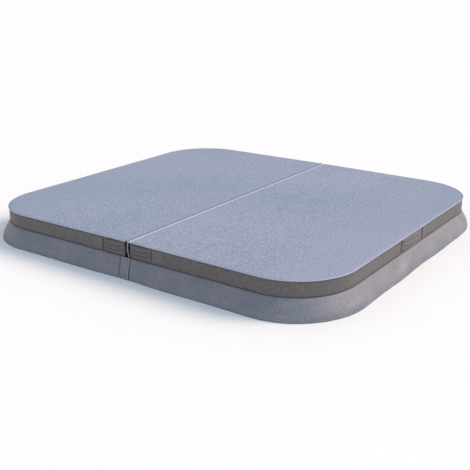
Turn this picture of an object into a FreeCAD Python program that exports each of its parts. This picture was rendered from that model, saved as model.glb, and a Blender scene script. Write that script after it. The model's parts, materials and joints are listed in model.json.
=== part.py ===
"""Folding spa cover: two tapered foam panels in a vinyl jacket, hinged on a welt across the middle.

The cover lies flat with its skirt's hem on z = 0 and its centre on the Z axis. The fold runs along Y
at x = 0, the left half is on -X and the right half on +X. All sizes are in millimetres.
"""

import FreeCAD, Part
import math
import os

import Sketcher

SIZES = {
    # the whole cover
    "cover_width": 2000,
    "cover_depth": 1800,
    "corner_radius": 300,
    "rim_thickness": 75,
    "fold_thickness": 80,
    "half_gap": 17.5,
    # the hinge
    "hinge_lift": 1.3,
    "welt_radius": 2.5,
    "welt_clearance": 0.4,
    "backing_thickness": 1.0,
    # the jacket
    "vinyl": 1.6,
    "liner": 1.2,
    "piping_radius": 2.2,
    "piping_gap": 0.15,
    "eyelet_outer_radius": 11,
    "eyelet_bore_radius": 5,
    "eyelet_fold_distance": 130,
    "eyelet_rim_distance": 860,
    "eyelet_spread": 640,
    # inside
    "wrap": 0.6,
    "channel_gauge": 1,
    "channel_flange": 25,
    "channel_length": 1700,
    # the skirt
    "skirt_drop": 93,
    "skirt_flare": 43,
    "skirt_slant": 31,
    "hem_height": 12,
    "gap_flap_overlap": 33,
    "gap_flap_slit": 1.3,
    # the seal that hangs in the fold
    "seal_thickness": 3,
    "seal_length": 1780,
    "seal_drop": 74,
    "seal_upper_bend": 39,
    "seal_lower_bend": 86,
    "seal_middle_shift": -1.5,
    "seal_foot_shift": 6,
    # the handles
    "strap_thickness": 3,
    "strap_height": 64,
    "fold_handle_start": 20,
    "fold_handle_length": 130,
    "fold_handle_bow": 10,
    "side_handle_centre": -22,
    "side_handle_length": 245,
    "side_handle_bow": 12,
    "strap_tab": 16,
    "patch_length": 66,
    "patch_thickness": 1.2,
    # the zips
    "zip_centre": 35.5,
    "zip_tape_width": 33,
    "zip_tape_parting": 2,
    "zip_chain_width": 6,
    "zip_chain_depth": 1.8,
    "zip_length": 1540,
    "slider_length": 14,
    "slider_width": 11,
    "slider_wall": 1.3,
    "slider_clearance": 0.35,
    "slider_inset": 12,
    "crown_length": 9.4,
    "crown_width": 2.4,
    "crown_drop": 4.2,
    "crown_wire": 1.2,
    "pull_play": 1.45,
    "pull_width": 7,
    "pull_length": 26,
    "pull_thickness": 1.4,
    "pull_fork_width": 3.4,
    "pull_fork_depth": 5.9,
}

doc = FreeCAD.newDocument("SpaCover")
sheet = doc.addObject("Spreadsheet::Sheet", "Sizes")
for row, (alias, number) in enumerate(SIZES.items(), start=1):
    sheet.set(f"A{row}", alias)
    sheet.set(f"B{row}", str(number))
    sheet.setAlias(f"B{row}", alias)
doc.recompute()


def size(formula):
    """A formula's present value; names in it are the sheet's aliases, written Sizes.name."""
    return float(sheet.evalExpression(str(formula)))


# Formulas that several sub-parts share
HALF_WIDTH = "Sizes.cover_width / 2"
HALF_DEPTH = "Sizes.cover_depth / 2"
UNDERSIDE = "Sizes.skirt_drop"
FOLD_TOP = "(Sizes.skirt_drop + Sizes.fold_thickness)"
RIM_TOP = "(Sizes.skirt_drop + Sizes.rim_thickness)"
SLOPE = "((Sizes.fold_thickness - Sizes.rim_thickness) / (Sizes.cover_width / 2))"
UPRIGHT = f"sqrt(1 + {SLOPE}^2)"  # upright depth of a layer one unit thick on the sloping top
HINGE_HEIGHT = f"({FOLD_TOP} + Sizes.hinge_lift)"
INNER_FOLD = "(Sizes.half_gap + Sizes.vinyl)"
FOAM_SKIN = "(Sizes.vinyl + Sizes.wrap)"
FOAM_FLOOR = f"({UNDERSIDE} + Sizes.liner + Sizes.wrap)"
CHANNEL_TOP = f"({FOLD_TOP} - {FOAM_SKIN} - Sizes.channel_gauge)"
STRAP_FLOOR = f"({UNDERSIDE} + (Sizes.rim_thickness - Sizes.strap_height) / 2)"
SLIDER_BASE = f"({UNDERSIDE} - Sizes.zip_chain_depth - Sizes.slider_clearance - Sizes.slider_wall)"
CROWN_BASE = f"({SLIDER_BASE} - Sizes.crown_drop)"
PULL_PIVOT = f"({CROWN_BASE} + Sizes.crown_wire + Sizes.pull_play)"
SIDES = {"left": -1, "right": 1}
ENDS = {"front": -1, "rear": 1}
EYELETS = [
    (x, y)
    for x in ("Sizes.eyelet_fold_distance", "Sizes.eyelet_rim_distance")
    for y in ("-Sizes.eyelet_spread", "Sizes.eyelet_spread")
]
nodes = []


def keep(node, label):
    """Name a finished object as a sub-part."""
    node.Label = label
    nodes.append(node)
    return node


def bind(target, prop, formula):
    target.setExpression(prop, str(formula))


def new_body(name):
    return doc.addObject("PartDesign::Body", name)


def new_sketch(body, name, plane, offset="0"):
    """A sketch on one of the body's own origin planes, moved along the plane's normal by offset."""
    sketch = body.newObject("Sketcher::SketchObject", name)
    support = next(o for o in body.Origin.OriginFeatures if o.Role == plane)
    sketch.AttachmentSupport = (support, "")
    sketch.MapMode = "FlatFace"
    bind(sketch, "AttachmentOffset.Base.z", offset)
    return sketch


def arc_centre(start, end, radius):
    """Centre of the arc from start to end; a positive radius turns anticlockwise."""
    middle = (start + end) * 0.5
    chord = end - start
    rise = math.sqrt(max(radius**2 - (chord.Length / 2) ** 2, 0.0))
    normal = FreeCAD.Vector(-chord.y, chord.x, 0).normalize()
    return middle + normal * math.copysign(rise, radius)


def draw(sketch, corners, closed=True):
    """Draw lines and arcs through corners: (x, y) or (x, y, r), with r the radius of the arc that
    leaves this corner, positive anticlockwise. Every corner and radius is bound to its formula."""
    spots = [FreeCAD.Vector(size(c[0]), size(c[1]), 0) for c in corners]
    count = len(corners) if closed else len(corners) - 1
    ends = []
    for i in range(count):
        start = spots[i]
        end = spots[(i + 1) % len(spots)]
        if len(corners[i]) == 2:
            sketch.addGeometry(Part.LineSegment(start, end))
            ends.append((1, 2))
            continue
        radius = size(corners[i][2])
        centre = arc_centre(start, end, radius)
        circle = Part.Circle(centre, FreeCAD.Vector(0, 0, 1), abs(radius))
        first, last = (start, end) if radius > 0 else (end, start)
        arc = Part.ArcOfCircle(circle, circle.parameter(first), circle.parameter(last))
        sketch.addGeometry(arc)
        ends.append((1, 2) if radius > 0 else (2, 1))
    for i in range(count if closed else count - 1):
        following = (i + 1) % count
        sketch.addConstraint(
            Sketcher.Constraint("Coincident", i, ends[i][1], following, ends[following][0])
        )
    for i, corner in enumerate(corners):
        curve, end = (i, ends[i][0]) if i < count else (count - 1, ends[count - 1][1])
        for axis, kind in enumerate(("DistanceX", "DistanceY")):
            value = size(corner[axis])
            index = sketch.addConstraint(Sketcher.Constraint(kind, -1, 1, curve, end, value))
            name = f"corner_{i}_{'xy'[axis]}"
            sketch.renameConstraint(index, name)
            bind(sketch, f"Constraints.{name}", corner[axis])
        if len(corner) == 3:
            index = sketch.addConstraint(Sketcher.Constraint("Radius", i, abs(size(corner[2]))))
            name = f"radius_{i}"
            sketch.renameConstraint(index, name)
            bind(sketch, f"Constraints.{name}", f"abs({corner[2]})")
    return sketch


def rectangle(sketch, x1, y1, x2, y2):
    return draw(sketch, [(x1, y1), (x2, y1), (x2, y2), (x1, y2)])


def circle(sketch, number, x, y, radius):
    """A circle with its centre and radius bound, the sketch's curve of that number."""
    centre = FreeCAD.Vector(size(x), size(y), 0)
    sketch.addGeometry(Part.Circle(centre, FreeCAD.Vector(0, 0, 1), size(radius)))
    for kind, formula in (("DistanceX", x), ("DistanceY", y)):
        index = sketch.addConstraint(Sketcher.Constraint(kind, -1, 1, number, 3, size(formula)))
        sketch.renameConstraint(index, f"{kind}_{number}")
        bind(sketch, f"Constraints.{kind}_{number}", formula)
    index = sketch.addConstraint(Sketcher.Constraint("Radius", number, size(radius)))
    sketch.renameConstraint(index, f"radius_{number}")
    bind(sketch, f"Constraints.radius_{number}", radius)
    return sketch


def box(name, length, width, height):
    solid = doc.addObject("Part::Box", name)
    bind(solid, "Length", length)
    bind(solid, "Width", width)
    bind(solid, "Height", height)
    return solid


def cylinder(name, radius, height):
    solid = doc.addObject("Part::Cylinder", name)
    bind(solid, "Radius", radius)
    bind(solid, "Height", height)
    return solid


def group(name, pieces):
    """Several separate solids kept as one sub-part."""
    compound = doc.addObject("Part::Compound", name)
    compound.Links = pieces
    return compound


def pad(body, name, sketch, length, symmetric=False):
    feature = body.newObject("PartDesign::Pad", name)
    feature.Profile = sketch
    bind(feature, "Length", length)
    if symmetric:
        feature.SideType = "Symmetric"
    return feature


def pocket(body, name, sketch, length, symmetric=False, reverse=False):
    """Cut a sketch's area out of the body, and stop if the cut removes nothing."""
    doc.recompute()
    before = body.Shape.Volume
    feature = body.newObject("PartDesign::Pocket", name)
    feature.Profile = sketch
    bind(feature, "Length", length)
    feature.Reversed = reverse
    if symmetric:
        feature.SideType = "Symmetric"
    doc.recompute()
    if not body.Shape.Volume < before - 1e-6:
        raise RuntimeError(f"{name} removes nothing from {body.Name}")
    return feature


def panel_outline(side, inset, fold):
    """Corners of one half's plan, inset from the cover's outline, from fold outwards."""
    x_flat = f"{side} * ({HALF_WIDTH} - Sizes.corner_radius)"
    x_side = f"{side} * ({HALF_WIDTH} - {inset})"
    x_fold = f"{side} * {fold}"
    y_flat = f"({HALF_DEPTH} - Sizes.corner_radius)"
    y_edge = f"({HALF_DEPTH} - {inset})"
    radius = f"{side} * (Sizes.corner_radius - {inset})"
    return [
        (x_fold, f"-{y_edge}"),
        (x_flat, f"-{y_edge}", radius),
        (x_side, f"-{y_flat}"),
        (x_side, y_flat, radius),
        (x_flat, y_edge),
        (x_fold, y_edge),
    ]


def slab(name, side, inset, fold, floor, skin):
    """One half's plan, raised from floor to the underside of a skin laid on the sloping top."""
    body = new_body(name)
    outline = draw(new_sketch(body, f"{name}_outline", "XY_Plane", floor), panel_outline(side, inset, fold))
    pad(body, f"{name}_pad", outline, f"{FOLD_TOP} - {floor}")
    over = new_sketch(body, f"{name}_slope", "XZ_Plane")
    far = f"{side} * ({HALF_WIDTH} + 50)"
    top_at_fold = f"{FOLD_TOP} - {skin} * {UPRIGHT}"
    draw(
        over,
        [
            ("0", top_at_fold),
            (far, f"{top_at_fold} - {SLOPE} * ({HALF_WIDTH} + 50)"),
            (far, f"{FOLD_TOP} + 20"),
            ("0", f"{FOLD_TOP} + 20"),
        ],
    )
    pocket(body, f"{name}_slope_cut", over, "Sizes.cover_depth + 100", symmetric=True)
    return body


def tilt(body, side):
    """Lay a body that is drawn flat on z = 0 onto the sloping top."""
    body.Placement = FreeCAD.Placement(
        FreeCAD.Vector(0, 0, 0), FreeCAD.Rotation(FreeCAD.Vector(0, 1, 0), 1)
    )
    bind(body, "Placement.Base.z", FOLD_TOP)
    bind(body, "Placement.Rotation.Angle", f"{side} * atan({SLOPE})")


def foam_core(side, label):
    body = slab(label, side, FOAM_SKIN, INNER_FOLD, FOAM_FLOOR, FOAM_SKIN)
    flange_tip = f"({INNER_FOLD} + Sizes.channel_flange)"
    web_back = f"({INNER_FOLD} + Sizes.channel_gauge)"
    cuts = {
        "lower": (flange_tip, FOAM_FLOOR, f"({FOAM_FLOOR} + Sizes.channel_gauge)"),
        "upper": (flange_tip, f"({CHANNEL_TOP} - Sizes.channel_gauge)", f"({FOLD_TOP} + 5)"),
        "web": (web_back, FOAM_FLOOR, CHANNEL_TOP),
    }
    for spot, (depth, bottom, top) in cuts.items():
        rebate = rectangle(
            new_sketch(body, f"{label}_{spot}_rebate", "XZ_Plane"),
            f"{side} * ({INNER_FOLD} - 1)", bottom, f"{side} * {depth}", top,
        )
        pocket(body, f"{label}_{spot}_cut", rebate, "Sizes.channel_length", symmetric=True)
    return body


def stiffener_channel(side, label):
    """A C-channel that grips the foam's fold edge; its flanges point away from the fold."""
    body = new_body(label)
    back = f"{side} * {INNER_FOLD}"
    inner = f"{side} * ({INNER_FOLD} + Sizes.channel_gauge)"
    tip = f"{side} * ({INNER_FOLD} + Sizes.channel_flange)"
    section = draw(
        new_sketch(body, f"{label}_section", "XZ_Plane"),
        [
            (back, FOAM_FLOOR),
            (tip, FOAM_FLOOR),
            (tip, f"({FOAM_FLOOR} + Sizes.channel_gauge)"),
            (inner, f"({FOAM_FLOOR} + Sizes.channel_gauge)"),
            (inner, f"({CHANNEL_TOP} - Sizes.channel_gauge)"),
            (tip, f"({CHANNEL_TOP} - Sizes.channel_gauge)"),
            (tip, CHANNEL_TOP),
            (back, CHANNEL_TOP),
        ],
    )
    pad(body, f"{label}_pad", section, "Sizes.channel_length", symmetric=True)
    return body


def vapour_wrap(side, label):
    """A film bag round the foam, open at the fold, where the fold wall closes it."""
    floor = f"({UNDERSIDE} + Sizes.liner)"
    outer = slab(f"{label}_outside", side, "Sizes.vinyl", INNER_FOLD, floor, "Sizes.vinyl")
    inner = slab(f"{label}_inside", side, FOAM_SKIN, f"({INNER_FOLD} - 5)", FOAM_FLOOR, FOAM_SKIN)
    bag = doc.addObject("Part::Cut", label)
    bag.Base = outer
    bag.Tool = inner
    return bag


def top_skin(side, label):
    """The sloping top; it runs past the fold wall to the hinge welt."""
    body = new_body(label)
    start = "(Sizes.welt_radius - 0.3)" if side < 0 else "(Sizes.welt_radius + Sizes.welt_clearance)"
    plan = new_sketch(body, f"{label}_plan", "XY_Plane", "-Sizes.vinyl")
    pad(body, f"{label}_pad", draw(plan, panel_outline(side, "0", start)), "Sizes.vinyl")
    tilt(body, side)
    return body


def hinge_backing(side, label):
    """A strip under the top skin where it bridges the gap to the welt."""
    body = new_body(label)
    plan = rectangle(
        new_sketch(body, f"{label}_plan", "XY_Plane", "-Sizes.vinyl - Sizes.backing_thickness"),
        f"{side} * (Sizes.welt_radius + Sizes.welt_clearance)", "-Sizes.seal_length / 2",
        f"{side} * Sizes.half_gap", "Sizes.seal_length / 2",
    )
    pad(body, f"{label}_pad", plan, "Sizes.backing_thickness")
    tilt(body, side)
    return body


def side_band(side, label):
    """The wall round the rim, open at the fold."""
    body = slab(label, side, "0", "Sizes.half_gap", UNDERSIDE, "Sizes.vinyl")
    inside = new_sketch(body, f"{label}_inside", "XY_Plane", UNDERSIDE)
    draw(inside, panel_outline(side, "Sizes.vinyl", "(Sizes.half_gap - 5)"))
    pocket(body, f"{label}_hollow", inside, "Sizes.fold_thickness + 5", reverse=True)
    return body


def fold_wall(side, label):
    body = new_body(label)
    skin = f"Sizes.vinyl * {UPRIGHT}"
    outer_top = f"({FOLD_TOP} - {skin} - {SLOPE} * Sizes.half_gap)"
    inner_top = f"({FOLD_TOP} - {skin} - {SLOPE} * {INNER_FOLD})"
    section = draw(
        new_sketch(body, f"{label}_section", "XZ_Plane"),
        [
            (f"{side} * Sizes.half_gap", UNDERSIDE),
            (f"{side} * {INNER_FOLD}", UNDERSIDE),
            (f"{side} * {INNER_FOLD}", inner_top),
            (f"{side} * Sizes.half_gap", outer_top),
        ],
    )
    pad(body, f"{label}_pad", section, "Sizes.cover_depth - 2 * Sizes.vinyl", symmetric=True)
    return body


def underside_liner(side, label):
    """The flat underside outside the zip, with a hole for each drain eyelet."""
    body = new_body(label)
    plan = new_sketch(body, f"{label}_plan", "XY_Plane", UNDERSIDE)
    start = "(Sizes.zip_centre + Sizes.zip_tape_width / 2)"
    pad(body, f"{label}_pad", draw(plan, panel_outline(side, "Sizes.vinyl", start)), "Sizes.liner")
    holes = new_sketch(body, f"{label}_holes", "XY_Plane", UNDERSIDE)
    for i, (x, y) in enumerate(EYELETS):
        circle(holes, i, f"{side} * {x}", y, "Sizes.eyelet_outer_radius")
    pocket(body, f"{label}_hole_cut", holes, "Sizes.liner", reverse=True)
    return body


def drain_eyelets(side, label):
    """Brass rings set flush in the liner."""
    rings = []
    for i, (x, y) in enumerate(EYELETS):
        disc = cylinder(f"{label}_disc_{i}", "Sizes.eyelet_outer_radius", "Sizes.liner")
        bore = cylinder(f"{label}_bore_{i}", "Sizes.eyelet_bore_radius", "Sizes.liner")
        for piece in (disc, bore):
            bind(piece, "Placement.Base.x", f"{side} * {x}")
            bind(piece, "Placement.Base.y", y)
            bind(piece, "Placement.Base.z", UNDERSIDE)
        ring = doc.addObject("Part::Cut", f"{label}_ring_{i}")
        ring.Base = disc
        ring.Tool = bore
        rings.append(ring)
    return group(label, rings)


def zip_tape(side, label):
    """Two strips of tape, one each side of the chain, level with the liner."""
    chain = "Sizes.zip_tape_parting / 2"
    reach = "Sizes.zip_tape_width / 2"
    strips = []
    for edge, low, high in (
        ("fold", INNER_FOLD, f"(Sizes.zip_centre - {chain})"),
        ("rim", f"(Sizes.zip_centre + {chain})", f"(Sizes.zip_centre + {reach})"),
    ):
        strip = box(f"{label}_{edge}", f"{high} - {low}", "Sizes.cover_depth - 2 * Sizes.vinyl",
                    "Sizes.liner")
        bind(strip, "Placement.Base.x", low if side > 0 else f"-{high}")
        bind(strip, "Placement.Base.y", f"Sizes.vinyl - {HALF_DEPTH}")
        bind(strip, "Placement.Base.z", UNDERSIDE)
        strips.append(strip)
    return group(label, strips)


def zip_chain(side, label):
    """The closed coil of the zip, a ridge below the tape."""
    chain = box(label, "Sizes.zip_chain_width", "Sizes.zip_length", "Sizes.zip_chain_depth")
    bind(chain, "Placement.Base.x", f"{side} * Sizes.zip_centre - Sizes.zip_chain_width / 2")
    bind(chain, "Placement.Base.y", "-Sizes.zip_length / 2")
    bind(chain, "Placement.Base.z", f"{UNDERSIDE} - Sizes.zip_chain_depth")
    return chain


def set_on_zip(body, side):
    """Move a body drawn at x = y = 0 to the closed end of the zip."""
    bind(body, "Placement.Base.x", f"{side} * Sizes.zip_centre")
    bind(body, "Placement.Base.y", "Sizes.slider_inset - Sizes.zip_length / 2")


def zip_slider(side, label):
    """A channel that rides on the chain, with a crown below it that holds the pull."""
    body = new_body(label)
    inner = "(Sizes.zip_chain_width / 2 + Sizes.slider_clearance)"
    outer = "(Sizes.slider_width / 2)"
    rim = f"({UNDERSIDE} - Sizes.slider_clearance)"
    section = draw(
        new_sketch(body, f"{label}_section", "XZ_Plane"),
        [
            (f"-{outer}", SLIDER_BASE),
            (outer, SLIDER_BASE),
            (outer, rim),
            (inner, rim),
            (inner, f"({SLIDER_BASE} + Sizes.slider_wall)"),
            (f"-{inner}", f"({SLIDER_BASE} + Sizes.slider_wall)"),
            (f"-{inner}", rim),
            (f"-{outer}", rim),
        ],
    )
    pad(body, f"{label}_pad", section, "Sizes.slider_length", symmetric=True)
    half_crown = "(Sizes.crown_length / 2)"
    half_eye = "(Sizes.crown_length / 2 - Sizes.crown_wire)"
    crown = draw(
        new_sketch(body, f"{label}_crown_outline", "YZ_Plane"),
        [
            (f"-{half_crown}", SLIDER_BASE),
            (f"-{half_crown}", CROWN_BASE),
            (half_crown, CROWN_BASE),
            (half_crown, SLIDER_BASE),
            (half_eye, SLIDER_BASE),
            (half_eye, f"({CROWN_BASE} + Sizes.crown_wire)"),
            (f"-{half_eye}", f"({CROWN_BASE} + Sizes.crown_wire)"),
            (f"-{half_eye}", SLIDER_BASE),
        ],
    )
    pad(body, f"{label}_crown", crown, "Sizes.crown_width", symmetric=True)
    set_on_zip(body, side)
    return body


def zip_pull(side, label):
    """A tab that hangs from the crown by the round bar across its fork."""
    body = new_body(label)
    half = "(Sizes.pull_width / 2)"
    foot = f"({PULL_PIVOT} - Sizes.pull_length + {half})"
    plate = draw(
        new_sketch(body, f"{label}_plate", "XZ_Plane"),
        [
            (f"-{half}", PULL_PIVOT),
            (f"-{half}", foot, half),
            ("0", f"{foot} - {half}", half),
            (half, foot),
            (half, PULL_PIVOT),
        ],
    )
    pad(body, f"{label}_pad", plate, "Sizes.pull_thickness", symmetric=True)
    fork = rectangle(
        new_sketch(body, f"{label}_fork", "XZ_Plane"),
        "-Sizes.pull_fork_width / 2", f"{PULL_PIVOT} - Sizes.pull_fork_depth",
        "Sizes.pull_fork_width / 2", f"{PULL_PIVOT} + 1",
    )
    pocket(body, f"{label}_fork_cut", fork, "Sizes.pull_thickness + 2", symmetric=True)
    bar = new_sketch(body, f"{label}_bar_section", "YZ_Plane")
    circle(bar, 0, "0", PULL_PIVOT, "Sizes.pull_thickness / 2")
    pad(body, f"{label}_bar", bar, "Sizes.pull_width", symmetric=True)
    set_on_zip(body, side)
    return body


def skirt_section(sketch, outward, base):
    """The skirt with its folded hem, drawn outward (-1 or 1) from a reach of base.

    It slants straight down from the band, then an arc turns it upright at the hem.
    """
    slant = "Sizes.skirt_slant"
    bend_height = (
        f"((Sizes.skirt_drop * tan({slant}) - Sizes.skirt_flare)"
        f" / (tan({slant}) - tan({slant} / 2)))"
    )
    bend = f"({bend_height} / sin({slant}))"
    bend_reach = f"((Sizes.skirt_drop - {bend_height}) * tan({slant}))"
    hem_line = (
        f"(Sizes.skirt_flare - {bend}"
        f" + sqrt(({bend} - Sizes.vinyl)^2 - Sizes.hem_height^2))"
    )

    def at(reach, height, radius=None):
        spot = (f"{outward} * ({base} + {reach})", height)
        return spot if radius is None else (*spot, f"{outward} * {radius}")

    return draw(
        sketch,
        [
            at("0", "Sizes.skirt_drop"),
            at(bend_reach, bend_height, f"-1 * {bend}"),
            at("Sizes.skirt_flare", "0"),
            at("Sizes.skirt_flare - 2 * Sizes.vinyl", "0"),
            at(f"{hem_line} - Sizes.vinyl", "Sizes.hem_height"),
            at(hem_line, "Sizes.hem_height", f"({bend} - Sizes.vinyl)"),
            at(f"{bend_reach} - Sizes.vinyl * cos({slant})",
               f"{bend_height} - Sizes.vinyl * sin({slant})"),
            at("-1 * Sizes.vinyl", "Sizes.skirt_drop"),
        ],
    )


def place(body, turn, x, y):
    """Turn a body about the Z axis and move it to x, y."""
    body.Placement.Rotation = FreeCAD.Rotation(FreeCAD.Vector(0, 0, 1), turn)
    bind(body, "Placement.Base.x", x)
    bind(body, "Placement.Base.y", y)
    return body


def skirt_run(label, length, turn, x, y):
    """A straight panel of skirt; turn 0 faces the front, and x, y is the middle of its top edge."""
    body = new_body(label)
    section = skirt_section(new_sketch(body, f"{label}_section", "YZ_Plane"), -1, "0")
    pad(body, f"{label}_pad", section, length, symmetric=True)
    return place(body, turn, x, y)


def skirt_end_run(side, end, label):
    """The front (end -1) or rear (end 1) panel of one half, from beside the fold to the corner."""
    start = "Sizes.gap_flap_overlap" if side < 0 else "(Sizes.half_gap + Sizes.gap_flap_slit)"
    far = f"({HALF_WIDTH} - Sizes.corner_radius)"
    return skirt_run(label, f"{far} - {start}", 0 if end < 0 else 180,
                     f"{side} * ({far} + {start}) / 2", f"{end} * {HALF_DEPTH}")


def skirt_side_run(side, label):
    return skirt_run(label, "Sizes.cover_depth - 2 * Sizes.corner_radius", 90 * side,
                     f"{side} * {HALF_WIDTH}", "0")


QUARTER_TURN = 90


def skirt_corner(side, end, label):
    """A gusset cut as a ring's quarter, which lets the skirt flare round the corner."""
    body = new_body(label)
    section = new_sketch(body, f"{label}_section", "XZ_Plane")
    skirt_section(section, 1, "Sizes.corner_radius")
    turned = body.newObject("PartDesign::Revolution", f"{label}_turned")
    turned.Profile = section
    turned.ReferenceAxis = (section, ["V_Axis"])
    turned.Angle = QUARTER_TURN
    turn = {(1, 1): 0, (-1, 1): 90, (-1, -1): 180, (1, -1): 270}[side, end]
    return place(body, turn, f"{side} * ({HALF_WIDTH} - Sizes.corner_radius)",
                 f"{end} * ({HALF_DEPTH} - Sizes.corner_radius)")


def gap_flap(end, label):
    """The piece of skirt that covers the end of the fold; it is sewn to the left skirt."""
    return skirt_run(label, "Sizes.gap_flap_overlap + Sizes.half_gap", 0 if end < 0 else 180,
                     "(Sizes.half_gap - Sizes.gap_flap_overlap) / 2", f"{end} * {HALF_DEPTH}")


def rim_piping(side, label):
    """A bead round the top edge, from the fold's front end to its rear end."""
    body = new_body(label)
    radius = "Sizes.piping_radius"
    reach = f"({radius} + Sizes.piping_gap)"
    section = new_sketch(body, f"{label}_section", "YZ_Plane", f"{side} * Sizes.half_gap")
    circle(section, 0, f"-({HALF_DEPTH} + {reach})", f"-{radius}", radius)
    path = new_sketch(body, f"{label}_path", "XY_Plane", f"-{radius}")
    draw(path, panel_outline(side, f"(-1 * {reach})", "Sizes.half_gap"), closed=False)
    sweep = body.newObject("PartDesign::AdditivePipe", f"{label}_sweep")
    sweep.Profile = section
    sweep.Spine = (path, [f"Edge{i + 1}" for i in range(path.GeometryCount)])
    tilt(body, side)
    return body


def handle(label, bow, length, turn, x, y):
    """A strap that bows away from the band between two flat tabs; turn 0 faces the front."""
    body = new_body(label)
    half = f"({length} / 2)"
    span = f"({length} / 2 - Sizes.strap_tab)"
    thick = "Sizes.strap_thickness"
    inner = f"(({span}^2 + {bow}^2) / (2 * {bow}))"
    outer = f"({inner} + {thick})"
    outer_span = f"sqrt({outer}^2 - ({outer} - {bow})^2)"
    plan = draw(
        new_sketch(body, f"{label}_plan", "XY_Plane", STRAP_FLOOR),
        [
            (f"-{half}", "0"),
            (f"-{span}", "0", inner),
            (span, "0"),
            (half, "0"),
            (half, f"-{thick}"),
            (outer_span, f"-{thick}", f"-1 * {outer}"),
            (f"-{outer_span}", f"-{thick}"),
            (f"-{half}", f"-{thick}"),
        ],
    )
    pad(body, f"{label}_pad", plan, "Sizes.strap_height")
    return place(body, turn, x, y)


def fold_handle(side, end, label):
    """A handle on the front (end -1) or rear (end 1) band, beside the fold."""
    x = f"{side} * (Sizes.fold_handle_start + Sizes.fold_handle_length / 2)"
    turn = 0 if end < 0 else 180
    return handle(label, "Sizes.fold_handle_bow", "Sizes.fold_handle_length", turn, x,
                  f"{end} * {HALF_DEPTH}")


def side_handle(side, label):
    return handle(label, "Sizes.side_handle_bow", "Sizes.side_handle_length", 90 * side,
                  f"{side} * {HALF_WIDTH}", "Sizes.side_handle_centre")


def handle_patches(side, label):
    """Patches on the band past the end of each strap: front, rear and side."""
    patches = []
    for end in (-1, 1):
        patch = box(f"{label}_{'rear' if end > 0 else 'front'}", "Sizes.patch_length",
                    "Sizes.patch_thickness", "Sizes.strap_height")
        near = "(Sizes.fold_handle_start + Sizes.fold_handle_length)"
        bind(patch, "Placement.Base.x", near if side > 0 else f"-({near} + Sizes.patch_length)")
        bind(patch, "Placement.Base.y",
             HALF_DEPTH if end > 0 else f"-({HALF_DEPTH} + Sizes.patch_thickness)")
        patches.append(patch)
    patch = box(f"{label}_side", "Sizes.patch_thickness", "Sizes.patch_length", "Sizes.strap_height")
    bind(patch, "Placement.Base.x",
         HALF_WIDTH if side > 0 else f"-({HALF_WIDTH} + Sizes.patch_thickness)")
    bind(patch, "Placement.Base.y", "Sizes.side_handle_centre + Sizes.side_handle_length / 2")
    patches.append(patch)
    for patch in patches:
        bind(patch, "Placement.Base.z", STRAP_FLOOR)
    return group(label, patches)


def hinge_welt(label):
    """The bead sewn along the fold, on the hinge's own axis."""
    welt = cylinder(label, "Sizes.welt_radius", "Sizes.cover_depth")
    welt.Placement.Rotation = FreeCAD.Rotation(FreeCAD.Vector(1, 0, 0), -90)
    bind(welt, "Placement.Base.y", f"-{HALF_DEPTH}")
    bind(welt, "Placement.Base.z", HINGE_HEIGHT)
    return welt


def steam_seal(label):
    """The flap that hangs from the welt and waves down between the fold walls."""
    body = new_body(label)
    top = f"({HINGE_HEIGHT} - Sizes.welt_radius)"
    middle = f"({top} - Sizes.seal_drop / 2)"
    foot = f"({top} - Sizes.seal_drop)"
    half = "Sizes.seal_thickness / 2"
    upper = "Sizes.seal_upper_bend"
    lower = "Sizes.seal_lower_bend"
    section = draw(
        new_sketch(body, f"{label}_section", "XZ_Plane"),
        [
            (f"-{half}", top, upper),
            (f"Sizes.seal_middle_shift - {half}", middle, f"-{lower}"),
            (f"Sizes.seal_foot_shift - {half}", foot),
            (f"Sizes.seal_foot_shift + {half}", foot, lower),
            (f"Sizes.seal_middle_shift + {half}", middle, f"-{upper}"),
            (half, top),
        ],
    )
    pad(body, f"{label}_pad", section, "Sizes.seal_length", symmetric=True)
    return body


for name, side in SIDES.items():
    for maker in (
        foam_core, stiffener_channel, vapour_wrap, top_skin, hinge_backing, side_band, fold_wall,
        underside_liner, drain_eyelets, zip_tape, zip_chain, zip_slider, zip_pull, rim_piping,
        side_handle, handle_patches,
    ):
        label = f"{maker.__name__}_{name}"
        keep(maker(side, label), label)
    keep(skirt_side_run(side, f"skirt_side_{name}"), f"skirt_side_{name}")
    for end_name, end in ENDS.items():
        for maker, label in (
            (fold_handle, f"{end_name}_handle_{name}"),
            (skirt_end_run, f"skirt_{end_name}_{name}"),
            (skirt_corner, f"skirt_corner_{end_name}_{name}"),
        ):
            keep(maker(side, end, label), label)
for end_name, end in ENDS.items():
    keep(gap_flap(end, f"{end_name}_gap_flap"), f"{end_name}_gap_flap")
keep(hinge_welt("hinge_welt"), "hinge_welt")
keep(steam_seal("steam_seal"), "steam_seal")

doc.recompute()
for thing in doc.Objects:
    if "Invalid" in thing.State or "Error" in thing.State:
        raise RuntimeError(f"{thing.Label} failed: {thing.State}")
os.makedirs("parts", exist_ok=True)
for node in nodes:
    if node.Shape.isNull() or not node.Shape.isValid():
        raise RuntimeError(f"{node.Label} has no valid shape")
    node.Shape.exportStep(f"parts/{node.Label}.step")
    print(node.Label, len(node.Shape.Solids), "solid", round(node.Shape.Volume), "mm3")
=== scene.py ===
"""Looks of the folding spa cover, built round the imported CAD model. All sizes are in metres.

The right half is worked out first everywhere; the left half is its mirror image in the plane x = 0.
"""

import json
import math

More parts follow.
